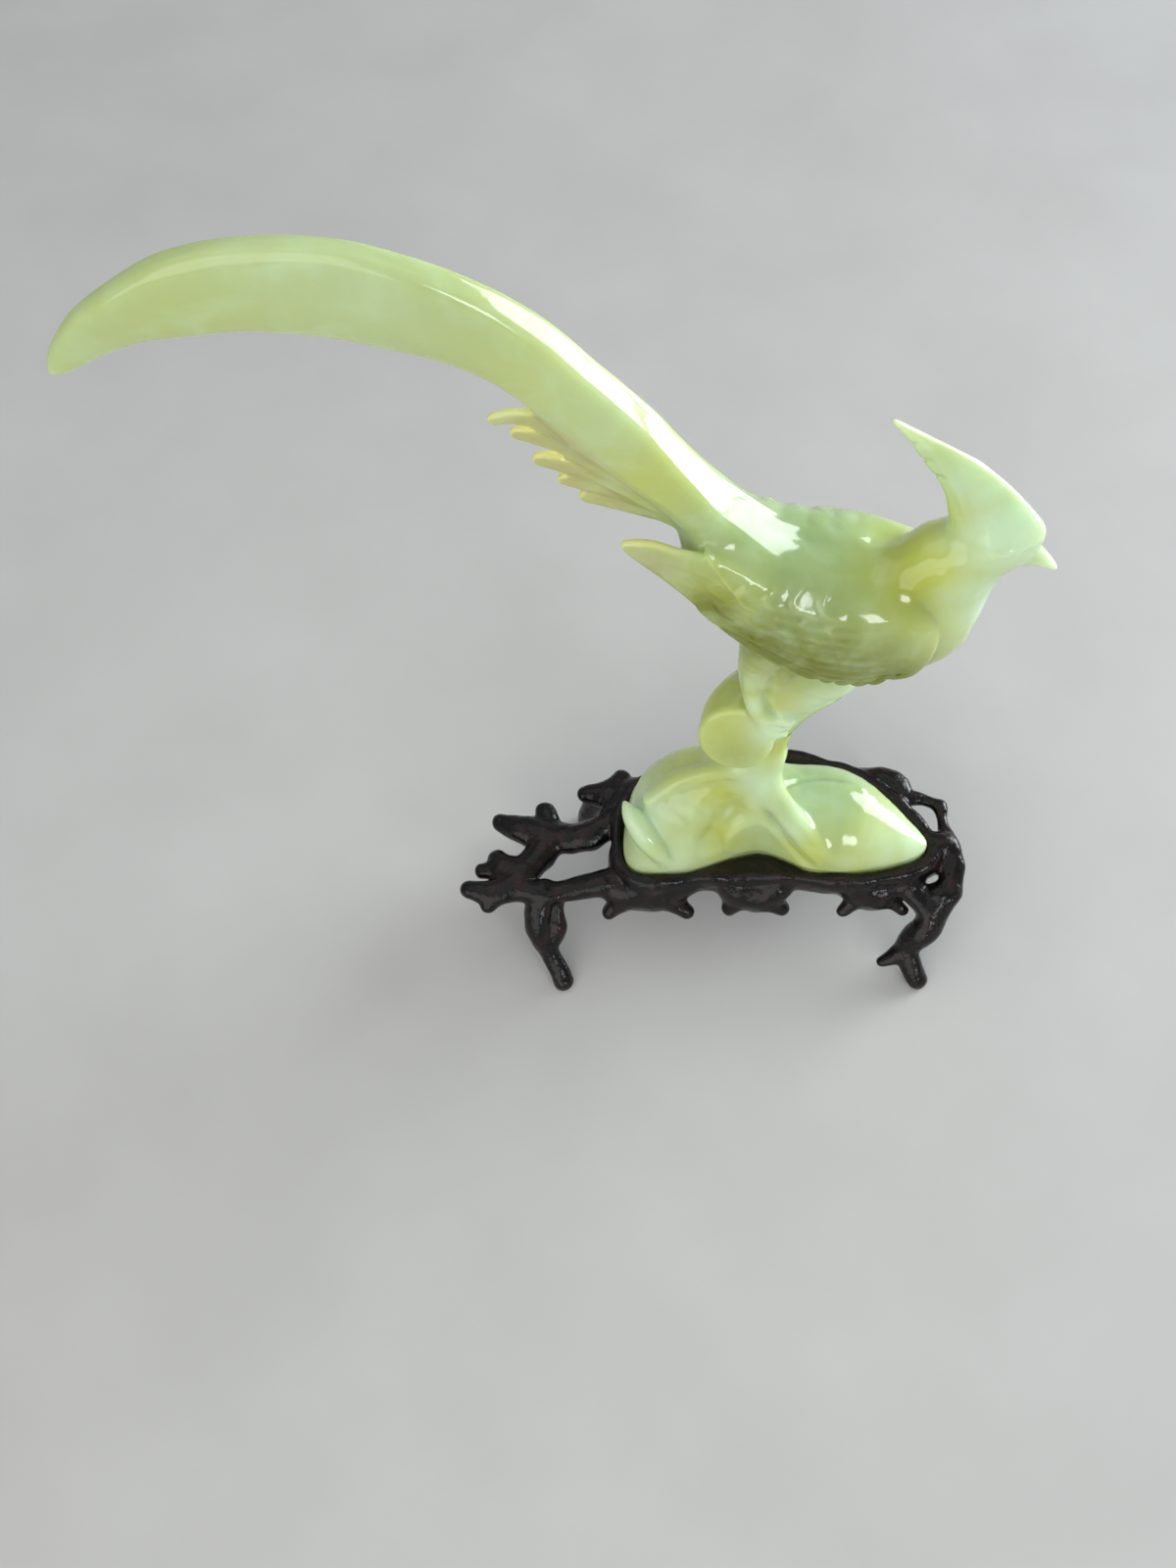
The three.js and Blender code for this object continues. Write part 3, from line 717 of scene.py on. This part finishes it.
def rock():
    """Two lobes and the foot of the trunk between them, with a ridge, an arris and an upturned flake."""
    left = [
        [-20, -6.4, 26, 11.4],
        [-15.5, -1, 37.5, 12.7],
        [-5, 1, 50, 8.6],
        [1, 0, 60, 6.6],
    ]
    right = [
        [2, -2, 36, 12],
        [14, -3, 31, 13.4],
        [25, -3.5, 30, 13.4],
        [33.5, -5.5, 27, 11.4],
        [42, -8.5, 25, 7.8],
        [47.6, -10, 25.5, 3.8],
    ]
    root = [
        [6, -2, 64, 5.4],
        [4.6, -4.4, 52, 5.6],
        [4.4, -7.2, 38, 5],
        [4.4, -8.6, 26, 4.2],
    ]
    ridge = [
        [5.6, -4.6, 60, 3.6],
        [9.4, -8, 50, 3.8],
        [14.6, -11.4, 42.4, 3.6],
        [20, -14.6, 36, 3.2],
        [25, -16.2, 30, 2.8],
        [28, -17, 26, 2.6],
    ]
    arris = [
        [-1, -5, 61.5, 2.2],
        [-8, -3.6, 57.4, 2.2],
        [-16, -3, 52, 2.4],
        [-23.6, -5, 46, 2],
    ]
    flake = [
        [-31.4, -5.4, 44.8, 1.1],
        [-28.4, -8.8, 42.8, 2.8],
        [-25, -12.6, 39, 3.5],
        [-21.4, -15, 34.4, 2.8],
        [-19.4, -16.2, 31, 1.4],
    ]
    lobes = joined(
        [
            (limb(left), 0),
            (limb(right, squash=(1, 1.12, 1)), 2.5),
            (limb(root), 2.5),
            (limb(ridge), 1.8),
            (limb(arris), 2.4),
            (limb(flake), 0.6),
        ]
    )
    lobes.values = smooth_max(lobes.values, off_rock_plan(lobes)[:, :, None], 1.0).astype(np.float32)
    return joined([lobes, rock_foot()], 2.0)


SIDE_VIEW = (0, 2)
PLAN = (0, 1)


def carved(field, line, depth, width, span=(-30, 30), seen=SIDE_VIEW):
    """Cut a shallow groove along a line in side view or in plan, or raise a ridge where depth is negative.

    It is cut through span in the direction of view, and fades out towards both ends of the line.
    """
    line = eased(line, 5)
    through = 3 - sum(seen)
    corner, end = np.empty(3), np.empty(3)
    corner[list(seen)], end[list(seen)] = line.min(0) - 3 * width, line.max(0) + 3 * width
    corner[through], end[through] = span
    part = field.part(corner, end)
    x, other = np.meshgrid(*(field.line(axis)[part[axis]] for axis in seen), indexing="ij")
    away, place = nearest(line, x, other)
    along = place / (len(line) - 1)
    fade = np.clip(6 * along, 0, 1) * np.clip(6 * (1 - along), 0, 1)
    cut = (depth * fade * np.exp(-((away / width) ** 2))).astype(np.float32)
    field.values[part] += np.expand_dims(cut, through)


def wing_carving(field):
    """Long feathers towards the tip, notches on the lower edge, grooves on the far wing, and coverts."""
    for n in range(8):
        share = n / 7
        front = (35 - 12 * share, 118 + 21 * share)
        middle = (10 - 4 * share, 125 + 19 * share)
        back = (-15 - 5 * share, 147 + 10 * share)
        carved(field, [front, middle, back], 0.46, 0.75)
    for n in range(6):
        x = 9 + 4.6 * n
        carved(field, [(x + 2.5, 121.5), (x, 118.5), (x - 3, 114.5)], 0.6, 0.8)
    for n in range(6):
        x = -2 + 5 * n
        carved(field, [(x + 1.5, 143), (x, 148), (x - 3, 158)], 0.22, 0.9, (4, 30))
    for row in range(3):
        for n in range(6):
            x, z = -13 + 6 * n + 2 * row, 151.5 - 6 * row - 1.3 * n
            covert = [(x + 1, z + 2.6), (x - 2.2, z + 0.4), (x - 0.6, z - 2.2), (x + 3, z - 3)]
            carved(field, covert, -0.36, 0.7)


def feather_carving(field):
    """The gaps between the short feathers run on as grooves over the side of the tail."""
    for upper, lower in zip(FEATHERS[:-1], FEATHERS[1:]):
        between = (np.array(upper) + np.array(lower)) / 2
        carved(field, between[1:], 0.6, 0.7)
    for points in FEATHERS:
        carved(field, points[:4], 0.25, 0.35)


def crest_carving(field):
    """Two lines along the rear edge of the crest, and chips in that edge."""
    for n in range(2):
        line = [(32.4, 181.6), (35.6, 176), (38.8, 170), (41.4, 164), (43.8, 157.4)]
        carved(field, [(x + 2.6 * n, z + 0.6 * n) for x, z in line], 0.3, 0.6)
    for x, z in [(30.6, 181.4), (33.2, 176.4), (36.2, 171.4)]:
        carved(field, [(x - 2, z - 1.6), (x, z), (x + 2.4, z + 1)], 0.7, 0.6)


def leg_carving(field):
    """The near leg is set off from the trunk, and its foot is parted into toes."""
    carved(field, [(6.2, 115), (5, 108), (4.8, 101), (6.8, 95.5), (10.5, 92)], 0.8, 0.8, (-30, -3))
    for n in range(2):
        between = [(5.4, 92.6 + 1.6 * n), (8.6, 89.8 + 2 * n), (11.4, 86.4 + 2.4 * n)]
        carved(field, between, 0.7, 0.5, (-30, -3))


def rock_carving(field):
    """A crease on the right lobe, the hollow at the foot of the trunk, a fold, and a groove by the ridge."""
    crease = [(9, -4), (15, 0.5), (22, 2), (31, 1.5)]
    carved(field, crease, 0.7, 0.7, (36, 60), PLAN)
    valley = [(-3.5, 60), (-4.4, 50), (-5, 42), (-5.4, 31)]
    carved(field, valley, 0.5, 2.6, (-30, -2))
    fold = [(-9, 55), (-12.4, 47), (-13, 39), (-12.6, 32)]
    carved(field, fold, -0.5, 2.2, (-30, -2))
    beside_ridge = [(6.4, 50), (10, 42), (15, 35), (20, 29)]
    carved(field, beside_ridge, 0.9, 1.3, (-30, -4))


def jade_field():
    """The whole bird, its perch and its rock. The number beside each form is its blend with those before."""
    breast = joined([(body_shell(), 0), (neck(), 3), (cheek(), 2.5)])
    perch = joined([(trunk(), 0), (stub(), 1.2), (legs_of_bird(), 0.8)])
    bird = joined(
        [
            (breast, 0),
            (folded_wings(), 0.5),
            (neck_root(), 4),
            (crest(), 3),
            (beak(), 0.8),
            (tail(), 2),
            (tail_feathers(), 0.5),
            (wing_tip(-1), 2.6),
            (wing_tip(1), 2.6),
            (perch, 1.2),
            (rock(), 2.5),
        ]
    )
    wing_carving(bird)
    feather_carving(bird)
    crest_carving(bird)
    leg_carving(bird)
    rock_carving(bird)
    roughened(bird, JADE_WAVES)
    keep_in_seat(bird)
    return bird


def keep_in_seat(field):
    """Below the rim the jade is straight and flat, as the seat that it stands in."""
    part = field.part((-200, -60, 0), (200, 60, SEAT_LEVEL + SEAT_DEPTH + 0.5))
    side = off_rock_plan(field)[:, :, None]
    under = ROCK_BOTTOM - field.line(2)[part[2]][None, None, :]
    field.values[part] = np.maximum(field.values[part], np.maximum(side, under))


# The stand.
# Its rim's middle line in plan, from the left end round by the front.
RIM_PLAN = [
    (-33.6, -8),
    (-31.6, -16.6),
    (-25, -19.8),
    (-9, -18.8),
    (6, -18.2),
    (20, -19.2),
    (32, -19.9),
    (43, -18.4),
    (51, -14.6),
    (53, -9.6),
    (50.4, -4),
    (44.6, 2.6),
    (37, 9.6),
    (26, 16),
    (9, 19.2),
    (-10, 18),
    (-24, 13.6),
    (-31.6, 4),
]
ROOTS = 0.79  # level of the pierced roots beside the seat


def rim():
    """The rim round the seat, gently waved, and the deck under the rock."""
    field = Field((-42, -28, 12), (62, 28, 36))
    points = eased(RIM_PLAN, 6, closed=True)
    x, y = np.meshgrid(field.line(0), field.line(1), indexing="ij")
    away, place = nearest(np.vstack([points, points[:1]]), x, y)
    wide = RIM_HALF_WIDTH * (1 + 0.16 * np.sin(place * 3.8 / 6))
    z = field.line(2)[None, None, :]
    across = (away / wide)[:, :, None]
    rise = (z - RIM_MIDDLE * STAND_HEIGHT) / RIM_HALF_HEIGHT
    field.values = (np.abs(across) ** 2.4 + np.abs(rise) ** 2.4 - 1).astype(np.float32)
    field.settle()
    deck = Field((-42, -28, 12), (62, 28, 36))
    inside = np.where(within(points, x, y), -away, away)[:, :, None]
    slab = np.maximum(SEAT_LEVEL - DECK_THICKNESS - z, z - DECK_TOP * STAND_HEIGHT)
    deck.values = np.maximum(inside, slab).astype(np.float32)
    return joined([field, deck], 1.0)


def branch(rows, squash=(1, 1, 0.9)):
    """A branch through rows of x, y, level as a share of the stand's height, and share of the thickness."""
    half = BRANCH_THICKNESS / 2
    return limb([[x, y, level * STAND_HEIGHT, thick * half] for x, y, level, thick in rows], squash=squash)


def apron_lobe(x, half, reach):
    """A scalloped lobe of the front apron: a wave along the rim with a drooping nub at each end."""
    wave = [
        [x - half, -19.4, 0.8, 0.9],
        [x - 0.4 * half, -20.6, 0.7, 1.35],
        [x + 0.4 * half, -20.6, 0.7, 1.3],
        [x + half, -19.4, 0.8, 0.9],
    ]
    nubs = [
        branch([[x + way * 0.45 * half, -20.6, 0.68, 1], [x + way * 0.95 * half, -reach, 0.56, 0.62]])
        for way in (-1, 1)
    ]
    return joined([branch(wave, (1, 0.8, 1.15)), *nubs], 0.8)


LEFT_ROOTS = [
    [
        [-28, 10, 0.86, 1],
        [-33.6, 2.4, 0.84, 1.1],
        [-38, -2.6, 0.82, 1.2],
        [-46, -4.4, ROOTS, 1.3],
        [-54, -3, ROOTS, 1.4],
        [-60, -1, ROOTS, 1.1],
        [-65.6, 1.2, 0.77, 0.8],
    ],
    [[-51.4, -3, ROOTS, 1.2], [-53.6, 4.4, ROOTS, 0.75]],
    [[-32, 6, 0.84, 1], [-37, 8.8, 0.82, 1], [-42.4, 9.6, 0.8, 0.6]],
    [[-36.4, 8.6, 0.83, 1], [-32, 14, 0.84, 0.7]],
    [
        [-51, -5, ROOTS, 1.3],
        [-56.4, -11.4, ROOTS, 1.25],
        [-61, -18, ROOTS, 1.2],
        [-67, -20.4, 0.78, 1],
        [-73.4, -19.8, 0.78, 0.75],
    ],
    [[-59, -15, ROOTS, 1.1], [-64.6, -13, ROOTS, 1.1], [-66.6, -10.4, ROOTS, 0.8]],
    [[-64.6, -13.4, ROOTS, 0.9], [-70.6, -13.6, 0.77, 0.7]],
    [[-61, -19, ROOTS, 1.1], [-53, -21, ROOTS, 1.05], [-45, -19.8, ROOTS, 0.95], [-34, -17.6, 0.82, 1.1]],
    [[-66, -20.4, 0.76, 0.8], [-68.6, -23.6, 0.72, 0.6]],
]

RIGHT_ROOTS = [
    [
        [36, 12, 0.84, 1],
        [43.4, 10.8, 0.87, 1.1],
        [46.6, 6.8, 0.87, 0.75],
        [51.6, 5.8, 0.86, 0.62],
        [55.6, 3.6, 0.86, 0.7],
    ],
    [
        [55.6, 3.6, 0.86, 0.7],
        [56.2, -3, 0.86, 0.62],
        [57, -9, 0.89, 1],
        [58, -15, 0.82, 0.8],
        [56.6, -21, 0.73, 1],
        [53, -25, 0.64, 1.1],
    ],
    [[50, -8, 0.9, 1], [54, -8.6, 0.91, 1.15], [57, -9.6, 0.9, 1]],
    [[43, -18, 0.8, 1], [48.6, -22, 0.69, 1.1], [52, -25.6, 0.6, 1.2]],
]


def legs_of_stand():
    """Four legs, each ending in a foot. One front leg has a side root, and the other a spur."""
    half = LEG_THICKNESS / 2
    foot = FOOT_THICKNESS / 2
    legs = [
        [
            [-53, -20, 0.78, 1],
            [-55.4, -25, 0.64, 1.05],
            [-55, -29, 0.45, 1],
            [-52.4, -32, 0.27, 0.8],
            [-49, -38],
        ],
        [
            [54, -22, 0.72, 1],
            [51, -27.6, 0.52, 1.2],
            [47.6, -29.4, 0.38, 1],
            [46, -32, 0.24, 0.8],
            [49, -38],
        ],
        [[-30, 10, 0.8, 1], [-38, 11, 0.62, 1], [-42, 12, 0.34, 0.9], [-43.1, 13]],
        [[34, 12, 0.8, 1], [41, 15, 0.6, 1], [43, 17.6, 0.34, 0.9], [43.1, 21]],
    ]
    parts = []
    for rows in legs:
        upper = [[x, y, level * STAND_HEIGHT, thick * half] for x, y, level, thick in rows[:-1]]
        parts.append(limb([*upper, [*rows[-1], 1.6, foot]]))
    side_root = [
        [-49, -20.6, 0.74, 0.8],
        [-50, -24, 0.6, 0.7],
        [-50.4, -27.8, 0.46, 0.9],
        [-52.4, -31, 0.32, 0.8],
    ]
    spur = [[46.4, -31, 0.28, 0.8], [42, -33, 0.2, 0.6], [39, -34, 0.17, 0.4]]
    parts += [branch(side_root), branch(spur)]
    return joined(parts, 0.8)


def rim_fill():
    """Where the rock draws back from the rim, the wood rises to meet it."""
    rows = [
        [-15, -17.4, 0.86, 0.9],
        [-5, -15.8, 0.88, 1],
        [5.4, -14.8, 0.88, 1.05],
        [14, -16.4, 0.88, 1],
        [23, -18, 0.86, 0.9],
    ]
    return branch(rows)


def stand_field():
    lobes = [apron_lobe(-25, 11, 23.6), apron_lobe(4.5, 7.6, 23), apron_lobe(36.4, 8.6, 23.6)]
    roots = [branch(rows) for rows in LEFT_ROOTS + RIGHT_ROOTS]
    wood = joined([rim(), rim_fill(), *lobes, *roots, legs_of_stand()], 1.0)
    roughened(wood, WOOD_KNOBS)
    z = wood.line(2)[None, None, :]
    seat = np.maximum(off_rock_plan(wood)[:, :, None] - SEAT_GAP, SEAT_LEVEL - z)
    wood.values = np.maximum(wood.values, np.maximum(-seat, -z)).astype(np.float32)
    return wood


# Materials.
def new_material(name):
    material = bpy.data.materials.new(name)
    material.use_nodes = True
    tree = material.node_tree
    return material, tree, tree.nodes["Principled BSDF"]


def value_of(tree, name):
    node = tree.nodes.new("ShaderNodeAttribute")
    node.attribute_name = name
    return node.outputs["Fac"]


def mixed(tree, share, low, high):
    """A colour between two, each a colour or another node's output."""
    node = tree.nodes.new("ShaderNodeMix")
    node.data_type = "RGBA"
    tree.links.new(share, node.inputs["Factor"])
    for socket, colour in ((node.inputs["A"], low), (node.inputs["B"], high)):
        if isinstance(colour, tuple):
            socket.default_value = (*colour, 1)
        else:
            tree.links.new(colour, socket)
    return node.outputs["Result"]


def ranged(tree, value, low, high, to_low=0.0, to_high=1.0):
    """A value's range from low to high, spread evenly over another range."""
    node = tree.nodes.new("ShaderNodeMapRange")
    node.inputs["From Min"].default_value = low
    node.inputs["From Max"].default_value = high
    node.inputs["To Min"].default_value = to_low
    node.inputs["To Max"].default_value = to_high
    tree.links.new(value, node.inputs["Value"])
    return node.outputs["Result"]


def cloudy(tree, size, detail=3.0, distortion=0.0):
    """Noise with clouds of about this size, in metres."""
    place = tree.nodes.new("ShaderNodeTexCoord")
    node = tree.nodes.new("ShaderNodeTexNoise")
    node.inputs["Scale"].default_value = 1 / size
    node.inputs["Detail"].default_value = detail
    node.inputs["Distortion"].default_value = distortion
    tree.links.new(place.outputs["Object"], node.inputs["Vector"])
    return node.outputs["Fac"]


def bumped(tree, shader, height, distance, strength=1.0):
    node = tree.nodes.new("ShaderNodeBump")
    node.inputs["Strength"].default_value = strength
    node.inputs["Distance"].default_value = distance
    tree.links.new(height, node.inputs["Height"])
    tree.links.new(node.outputs["Normal"], shader.inputs["Normal"])


# How the jade's colour changes over it.
# Each tint has its own attribute on the mesh, and is laid over those before it.
CELADON = (0.53, 0.63, 0.29)
TINTS = {
    "green": (0.35, 0.48, 0.22),
    "yellow": (0.58, 0.61, 0.04),
    # olive is partly the deeper colour of thick jade and partly painted shade, on the belly, under the wings
    # and in hollows
    "olive_painted_shade": (0.19, 0.22, 0.005),
    # pale_and_painted_light is partly the jade's own paler colour, which the milky clouds use too, and
    # partly painted light where the window falls
    "pale_and_painted_light": (0.67, 0.85, 0.6),
    # painted_see_through_shade is painted shade: thin blades are greyed as if the dark showed through them
    "painted_see_through_shade": (0.47, 0.45, 0.2),
    # rim is a painted glow along the edges of thin blades, standing in for light through translucent jade
    "rim": (0.88, 0.8, 0.36),
}
BLADE_TINT = 0.85  # how strongly thin blades take the painted see-through shade, and their rims the painted glow


def jade_material():
    material, tree, shader = new_material("jade")
    clouds = ranged(tree, cloudy(tree, 0.014, 4, 0.8), 0.34, 0.66, 0.72, 1.12)
    colour = CELADON
    for name, tint in TINTS.items():
        share = tree.nodes.new("ShaderNodeMath")
        share.operation = "MULTIPLY"
        share.use_clamp = True
        tree.links.new(value_of(tree, name), share.inputs[0])
        tree.links.new(clouds, share.inputs[1])
        colour = mixed(tree, share.outputs[0], colour, tint)
    milky = ranged(tree, cloudy(tree, 0.009, 3, 0.4), 0.48, 0.8, 0, 0.3)
    colour = mixed(tree, milky, colour, TINTS["pale_and_painted_light"])
    tree.links.new(colour, shader.inputs["Base Color"])
    shader.inputs["Subsurface Weight"].default_value = 1.0
    shader.inputs["Subsurface Radius"].default_value = (1.0, 1.0, 0.5)
    shader.inputs["Subsurface Scale"].default_value = 0.004
    tree.links.new(ranged(tree, cloudy(tree, 0.004), 0.3, 0.7, 0.06, 0.15), shader.inputs["Roughness"])
    shader.inputs["IOR"].default_value = 1.62
    bumped(tree, shader, cloudy(tree, 0.0025, 2), 0.0002, 0.16)
    return material


WOOD_DARK = (0.004, 0.0035, 0.0035)
WOOD_RED = (0.024, 0.009, 0.007)


def wood_material():
    material, tree, shader = new_material("dark_wood")
    grain = ranged(tree, cloudy(tree, 0.006, 5, 1.5), 0.45, 0.75)
    worn = mixed(tree, grain, WOOD_DARK, WOOD_RED)
    tree.links.new(worn, shader.inputs["Base Color"])
    tree.links.new(ranged(tree, cloudy(tree, 0.003, 4), 0.3, 0.7, 0.1, 0.28), shader.inputs["Roughness"])
    shader.inputs["IOR"].default_value = 1.38
    bumped(tree, shader, cloudy(tree, 0.0018, 3), 0.0006, 0.5)
    return material


def floor_material():
    material, tree, shader = new_material("floor")
    tone = ranged(tree, cloudy(tree, 0.05, 4), 0.3, 0.7)
    tree.links.new(mixed(tree, tone, (0.56, 0.55, 0.53), (0.6, 0.59, 0.57)), shader.inputs["Base Color"])
    shader.inputs["Roughness"].default_value = 0.75
    return material


# Where each tint is strongest: the middle, how far it reaches, and its strength.
TINT_PLACES = {
    "green": [
        ((2, 5, 151), 22, 1.3),
        ((16, 4, 146), 21, 1.2),
        ((26, -2, 134), 14, 0.9),
        ((24, 2, 44), 16, 1.2),
        ((-3, -9, 110), 7, 0.5),
    ],
    "yellow": [
        ((38, -5, 146), 14, 0.95),
        ((44, -9, 132), 11, 0.7),
        ((41, -2, 159), 8, 0.8),
        ((52, -7, 150), 8, 0.4),
        ((13, -10, 106), 15, 0.9),
        ((-2, -8, 90), 13, 0.6),
        ((-7, -2, 90), 9, 0.9),
        ((-4, -6, 53), 9, 0.9),
        ((-5, -12, 38), 10, 0.6),
        ((-14, 1, 54), 8, 0.5),
        ((5, -6, 72), 9, 0.7),
        ((18, -16, 36), 8, 0.7),
        ((34, -14, 32), 10, 0.7),
        ((-45, -3, 202), 15, 0.35),
        ((-26, -4, 176), 15, 0.5),
        ((-100, 0, 217), 18, 0.25),
        ((-8, -12, 147), 10, 0.7),
    ],
    # olive_painted_shade: partly the deeper colour of thick jade and partly painted shade, under the wings,
    # on the belly, under the body, in the hollow at the neck and on the stub's face
    "olive_painted_shade": [
        ((3, -15, 130), 14, 1.3),
        ((18, -17, 122), 16, 1.5),
        ((30, -16, 119), 12, 1.2),
        ((-8, -12, 142), 9, 0.9),
        ((6, 0, 117), 9, 0.6),
        ((34, -6, 139), 8, 0.5),
        ((-1, -12, 82), 7, 0.35),
    ],
    # pale_and_painted_light: partly the jade's own paler colour, and partly painted light and painted
    # highlight on the head, the breast, the leg, the rock's ridges and its right end
    "pale_and_painted_light": [
        ((54, -4, 156), 12, 1.0),
        ((46, 0, 171), 13, 0.7),
        ((30, 0, 184), 10, 0.4),
        ((58, 0, 162), 8, 0.7),
        ((66, 0, 142), 7, 1.1),
        ((51, -6, 134), 10, 1.0),
        ((49, -8, 142), 8, 0.8),
        ((-27, -9, 41), 8, 1.0),
        ((-16, -9, 48), 9, 0.2),
        ((-17, -16, 33), 8, 0.5),
        ((5, -9, 60), 8, 0.8),
        ((3, -13, 42), 7, 0.3),
        ((14, -11, 44), 6, 0.6),
        ((20, -6, 42), 9, 0.4),
        ((46, -10, 31), 7, 0.9),
        ((8, -10, 91), 7, 1.0),
        ((2, -11, 101), 5, 0.6),
        ((1, -10, 110), 5, 0.4),
        ((21, -6, 100), 11, 1.0),
        ((38, -14, 34), 9, 0.6),
        ((-80, 0, 240), 22, 0.2),
        ((-30, 0, 206), 16, 0.3),
    ],
}


def around(at, places):
    """How strong a tint is at each point."""
    total = np.zeros(len(at))
    for middle, radius, strength in places:
        away = np.linalg.norm(at - np.array(middle), axis=1) / radius
        total = np.maximum(total, strength * np.exp(-(away**2)))
    return total


def thin_places(at, normals):
    """How far each point is on a short feather or a wing's tip, and how near that blade's rim, for the
    painted shade on thin blades and the painted glow on their rims.
    """

    def near_blade(rows):
        rows = np.array(rows)
        outline = np.vstack([rows[:, 0:2], rows[::-1, 2:4]])
        return np.clip(0.8 - from_outline(outline, at[:, 0], at[:, 2]), 0, 1)

    x, y, z = at.T
    feather_root = -17 - 0.45 * (z - 160)
    on_blade = np.zeros(len(at))
    for points in FEATHERS:
        share = near_blade(feather_rows(points)) * np.clip((feather_root - x) / 8, 0, 1)
        on_blade = np.maximum(on_blade, share)
    off_middle = np.abs(y) > 5
    share = near_blade(wing_tip_rows()) * off_middle * np.clip((-12 - x) / 9, 0, 1)
    on_blade = np.maximum(on_blade, share)
    # Where the surface turns from the blade's faces, its rim takes a painted glow.
    edge = np.clip((0.93 - np.abs(normals[:, 1])) / 0.4, 0, 1)
    return on_blade, edge


def jade_piece():
    field = jade_field()
    piece, at, normals = mesh_piece("carved_jade", field, DRAWN_JADE, "jade_bird")
    for name, places in TINT_PLACES.items():
        painted(piece, name, around(at, places))
    blade_share, edge = thin_places(at, normals)
    # Thin blades take painted shade in their middles and a painted glow on their rims.
    painted(piece, "painted_see_through_shade", BLADE_TINT * blade_share * (1 - edge))
    painted(piece, "rim", BLADE_TINT * blade_share * edge)
    piece.data.materials.append(jade_material())
    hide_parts("jade_bird")
    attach(piece, "root")


def stand_piece():
    field = stand_field()
    piece = mesh_piece("carved_stand", field, DRAWN_STAND, "wood_stand")[0]
    piece.data.materials.append(wood_material())
    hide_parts("wood_stand")
    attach(piece, "root")


# The floor, the light and the camera, in metres.
def floor():
    mesh = bpy.data.meshes.new("floor")
    half = 2.5
    corners = [(-half, -half, 0), (half, -half, 0), (half, half, 0), (-half, half, 0)]
    mesh.from_pydata(corners, [], [(0, 1, 2, 3)])
    plane = bpy.data.objects.new("floor", mesh)
    mesh.materials.append(floor_material())
    bpy.context.scene.collection.objects.link(plane)


def softbox(name, place, target, size, power, colour):
    light = bpy.data.lights.new(name, "AREA")
    light.shape = "RECTANGLE"
    light.size, light.size_y = size
    light.energy = power
    light.color = colour
    lamp = bpy.data.objects.new(name, light)
    lamp.location = place
    lamp.rotation_euler = (Vector(target) - Vector(place)).to_track_quat("-Z", "Y").to_euler()
    lamp.visible_camera = False
    bpy.context.scene.collection.objects.link(lamp)
    return lamp


def lighting():
    world = bpy.data.worlds.new("studio")
    world.use_nodes = True
    world.node_tree.nodes["Background"].inputs["Color"].default_value = (0.9, 0.95, 1.0, 1)
    world.node_tree.nodes["Background"].inputs["Strength"].default_value = 0.34
    bpy.context.scene.world = world
    bpy.context.scene.view_settings.view_transform = "Standard"
    middle = (0, 0, 0.14)
    softbox("window", (1.05, 0.55, 0.44), middle, (0.7, 0.75), 12, (0.88, 0.95, 1.0))
    softbox("overhead", (-0.1, 0.1, 1.2), middle, (1.5, 1.5), 3.6, (1.0, 1.0, 0.98))
    softbox("fill", (-0.45, -1.05, 0.6), middle, (1.5, 1.1), 7.6, (1.0, 0.98, 0.95))
    low = softbox("low_reflector", (0.42, 0.24, 0.07), (0.01, 0.0, 0.18), (0.3, 0.09), 0.3, (0.9, 0.96, 1.0))
    low.data.spread = math.radians(70)
    softbox("side_window", (0.62, -0.85, 0.52), middle, (0.26, 0.34), 2.2, (0.92, 0.97, 1.0))


CAMERA_PLACE = (0.018246, -0.223729, 0.455)
CAMERA_TURN = math.radians(6.03)  # about the vertical
CAMERA_DIP = math.radians(60.3)  # below the level
CAMERA_ROLL = math.radians(-5.9)
CAMERA_LENS = 40.5  # for a long side of 36


def camera():
    right = Vector((math.cos(CAMERA_TURN), math.sin(CAMERA_TURN), 0))
    ahead = Vector((-math.sin(CAMERA_TURN), math.cos(CAMERA_TURN), 0))
    forward = ahead * math.cos(CAMERA_DIP) + Vector((0, 0, -math.sin(CAMERA_DIP)))
    up = ahead * math.sin(CAMERA_DIP) + Vector((0, 0, math.cos(CAMERA_DIP)))
    side = right * math.cos(CAMERA_ROLL) + up * math.sin(CAMERA_ROLL)
    top = up * math.cos(CAMERA_ROLL) - right * math.sin(CAMERA_ROLL)
    data = bpy.data.cameras.new("camera")
    data.lens = CAMERA_LENS
    data.sensor_width = 36
    eye = bpy.data.objects.new("camera", data)
    turn = Matrix((side, top, -forward)).transposed()
    eye.matrix_world = Matrix.Translation(CAMERA_PLACE) @ turn.to_4x4()
    bpy.context.scene.collection.objects.link(eye)
    bpy.context.scene.camera = eye


camera()
floor()
lighting()
jade_piece()
stand_piece()
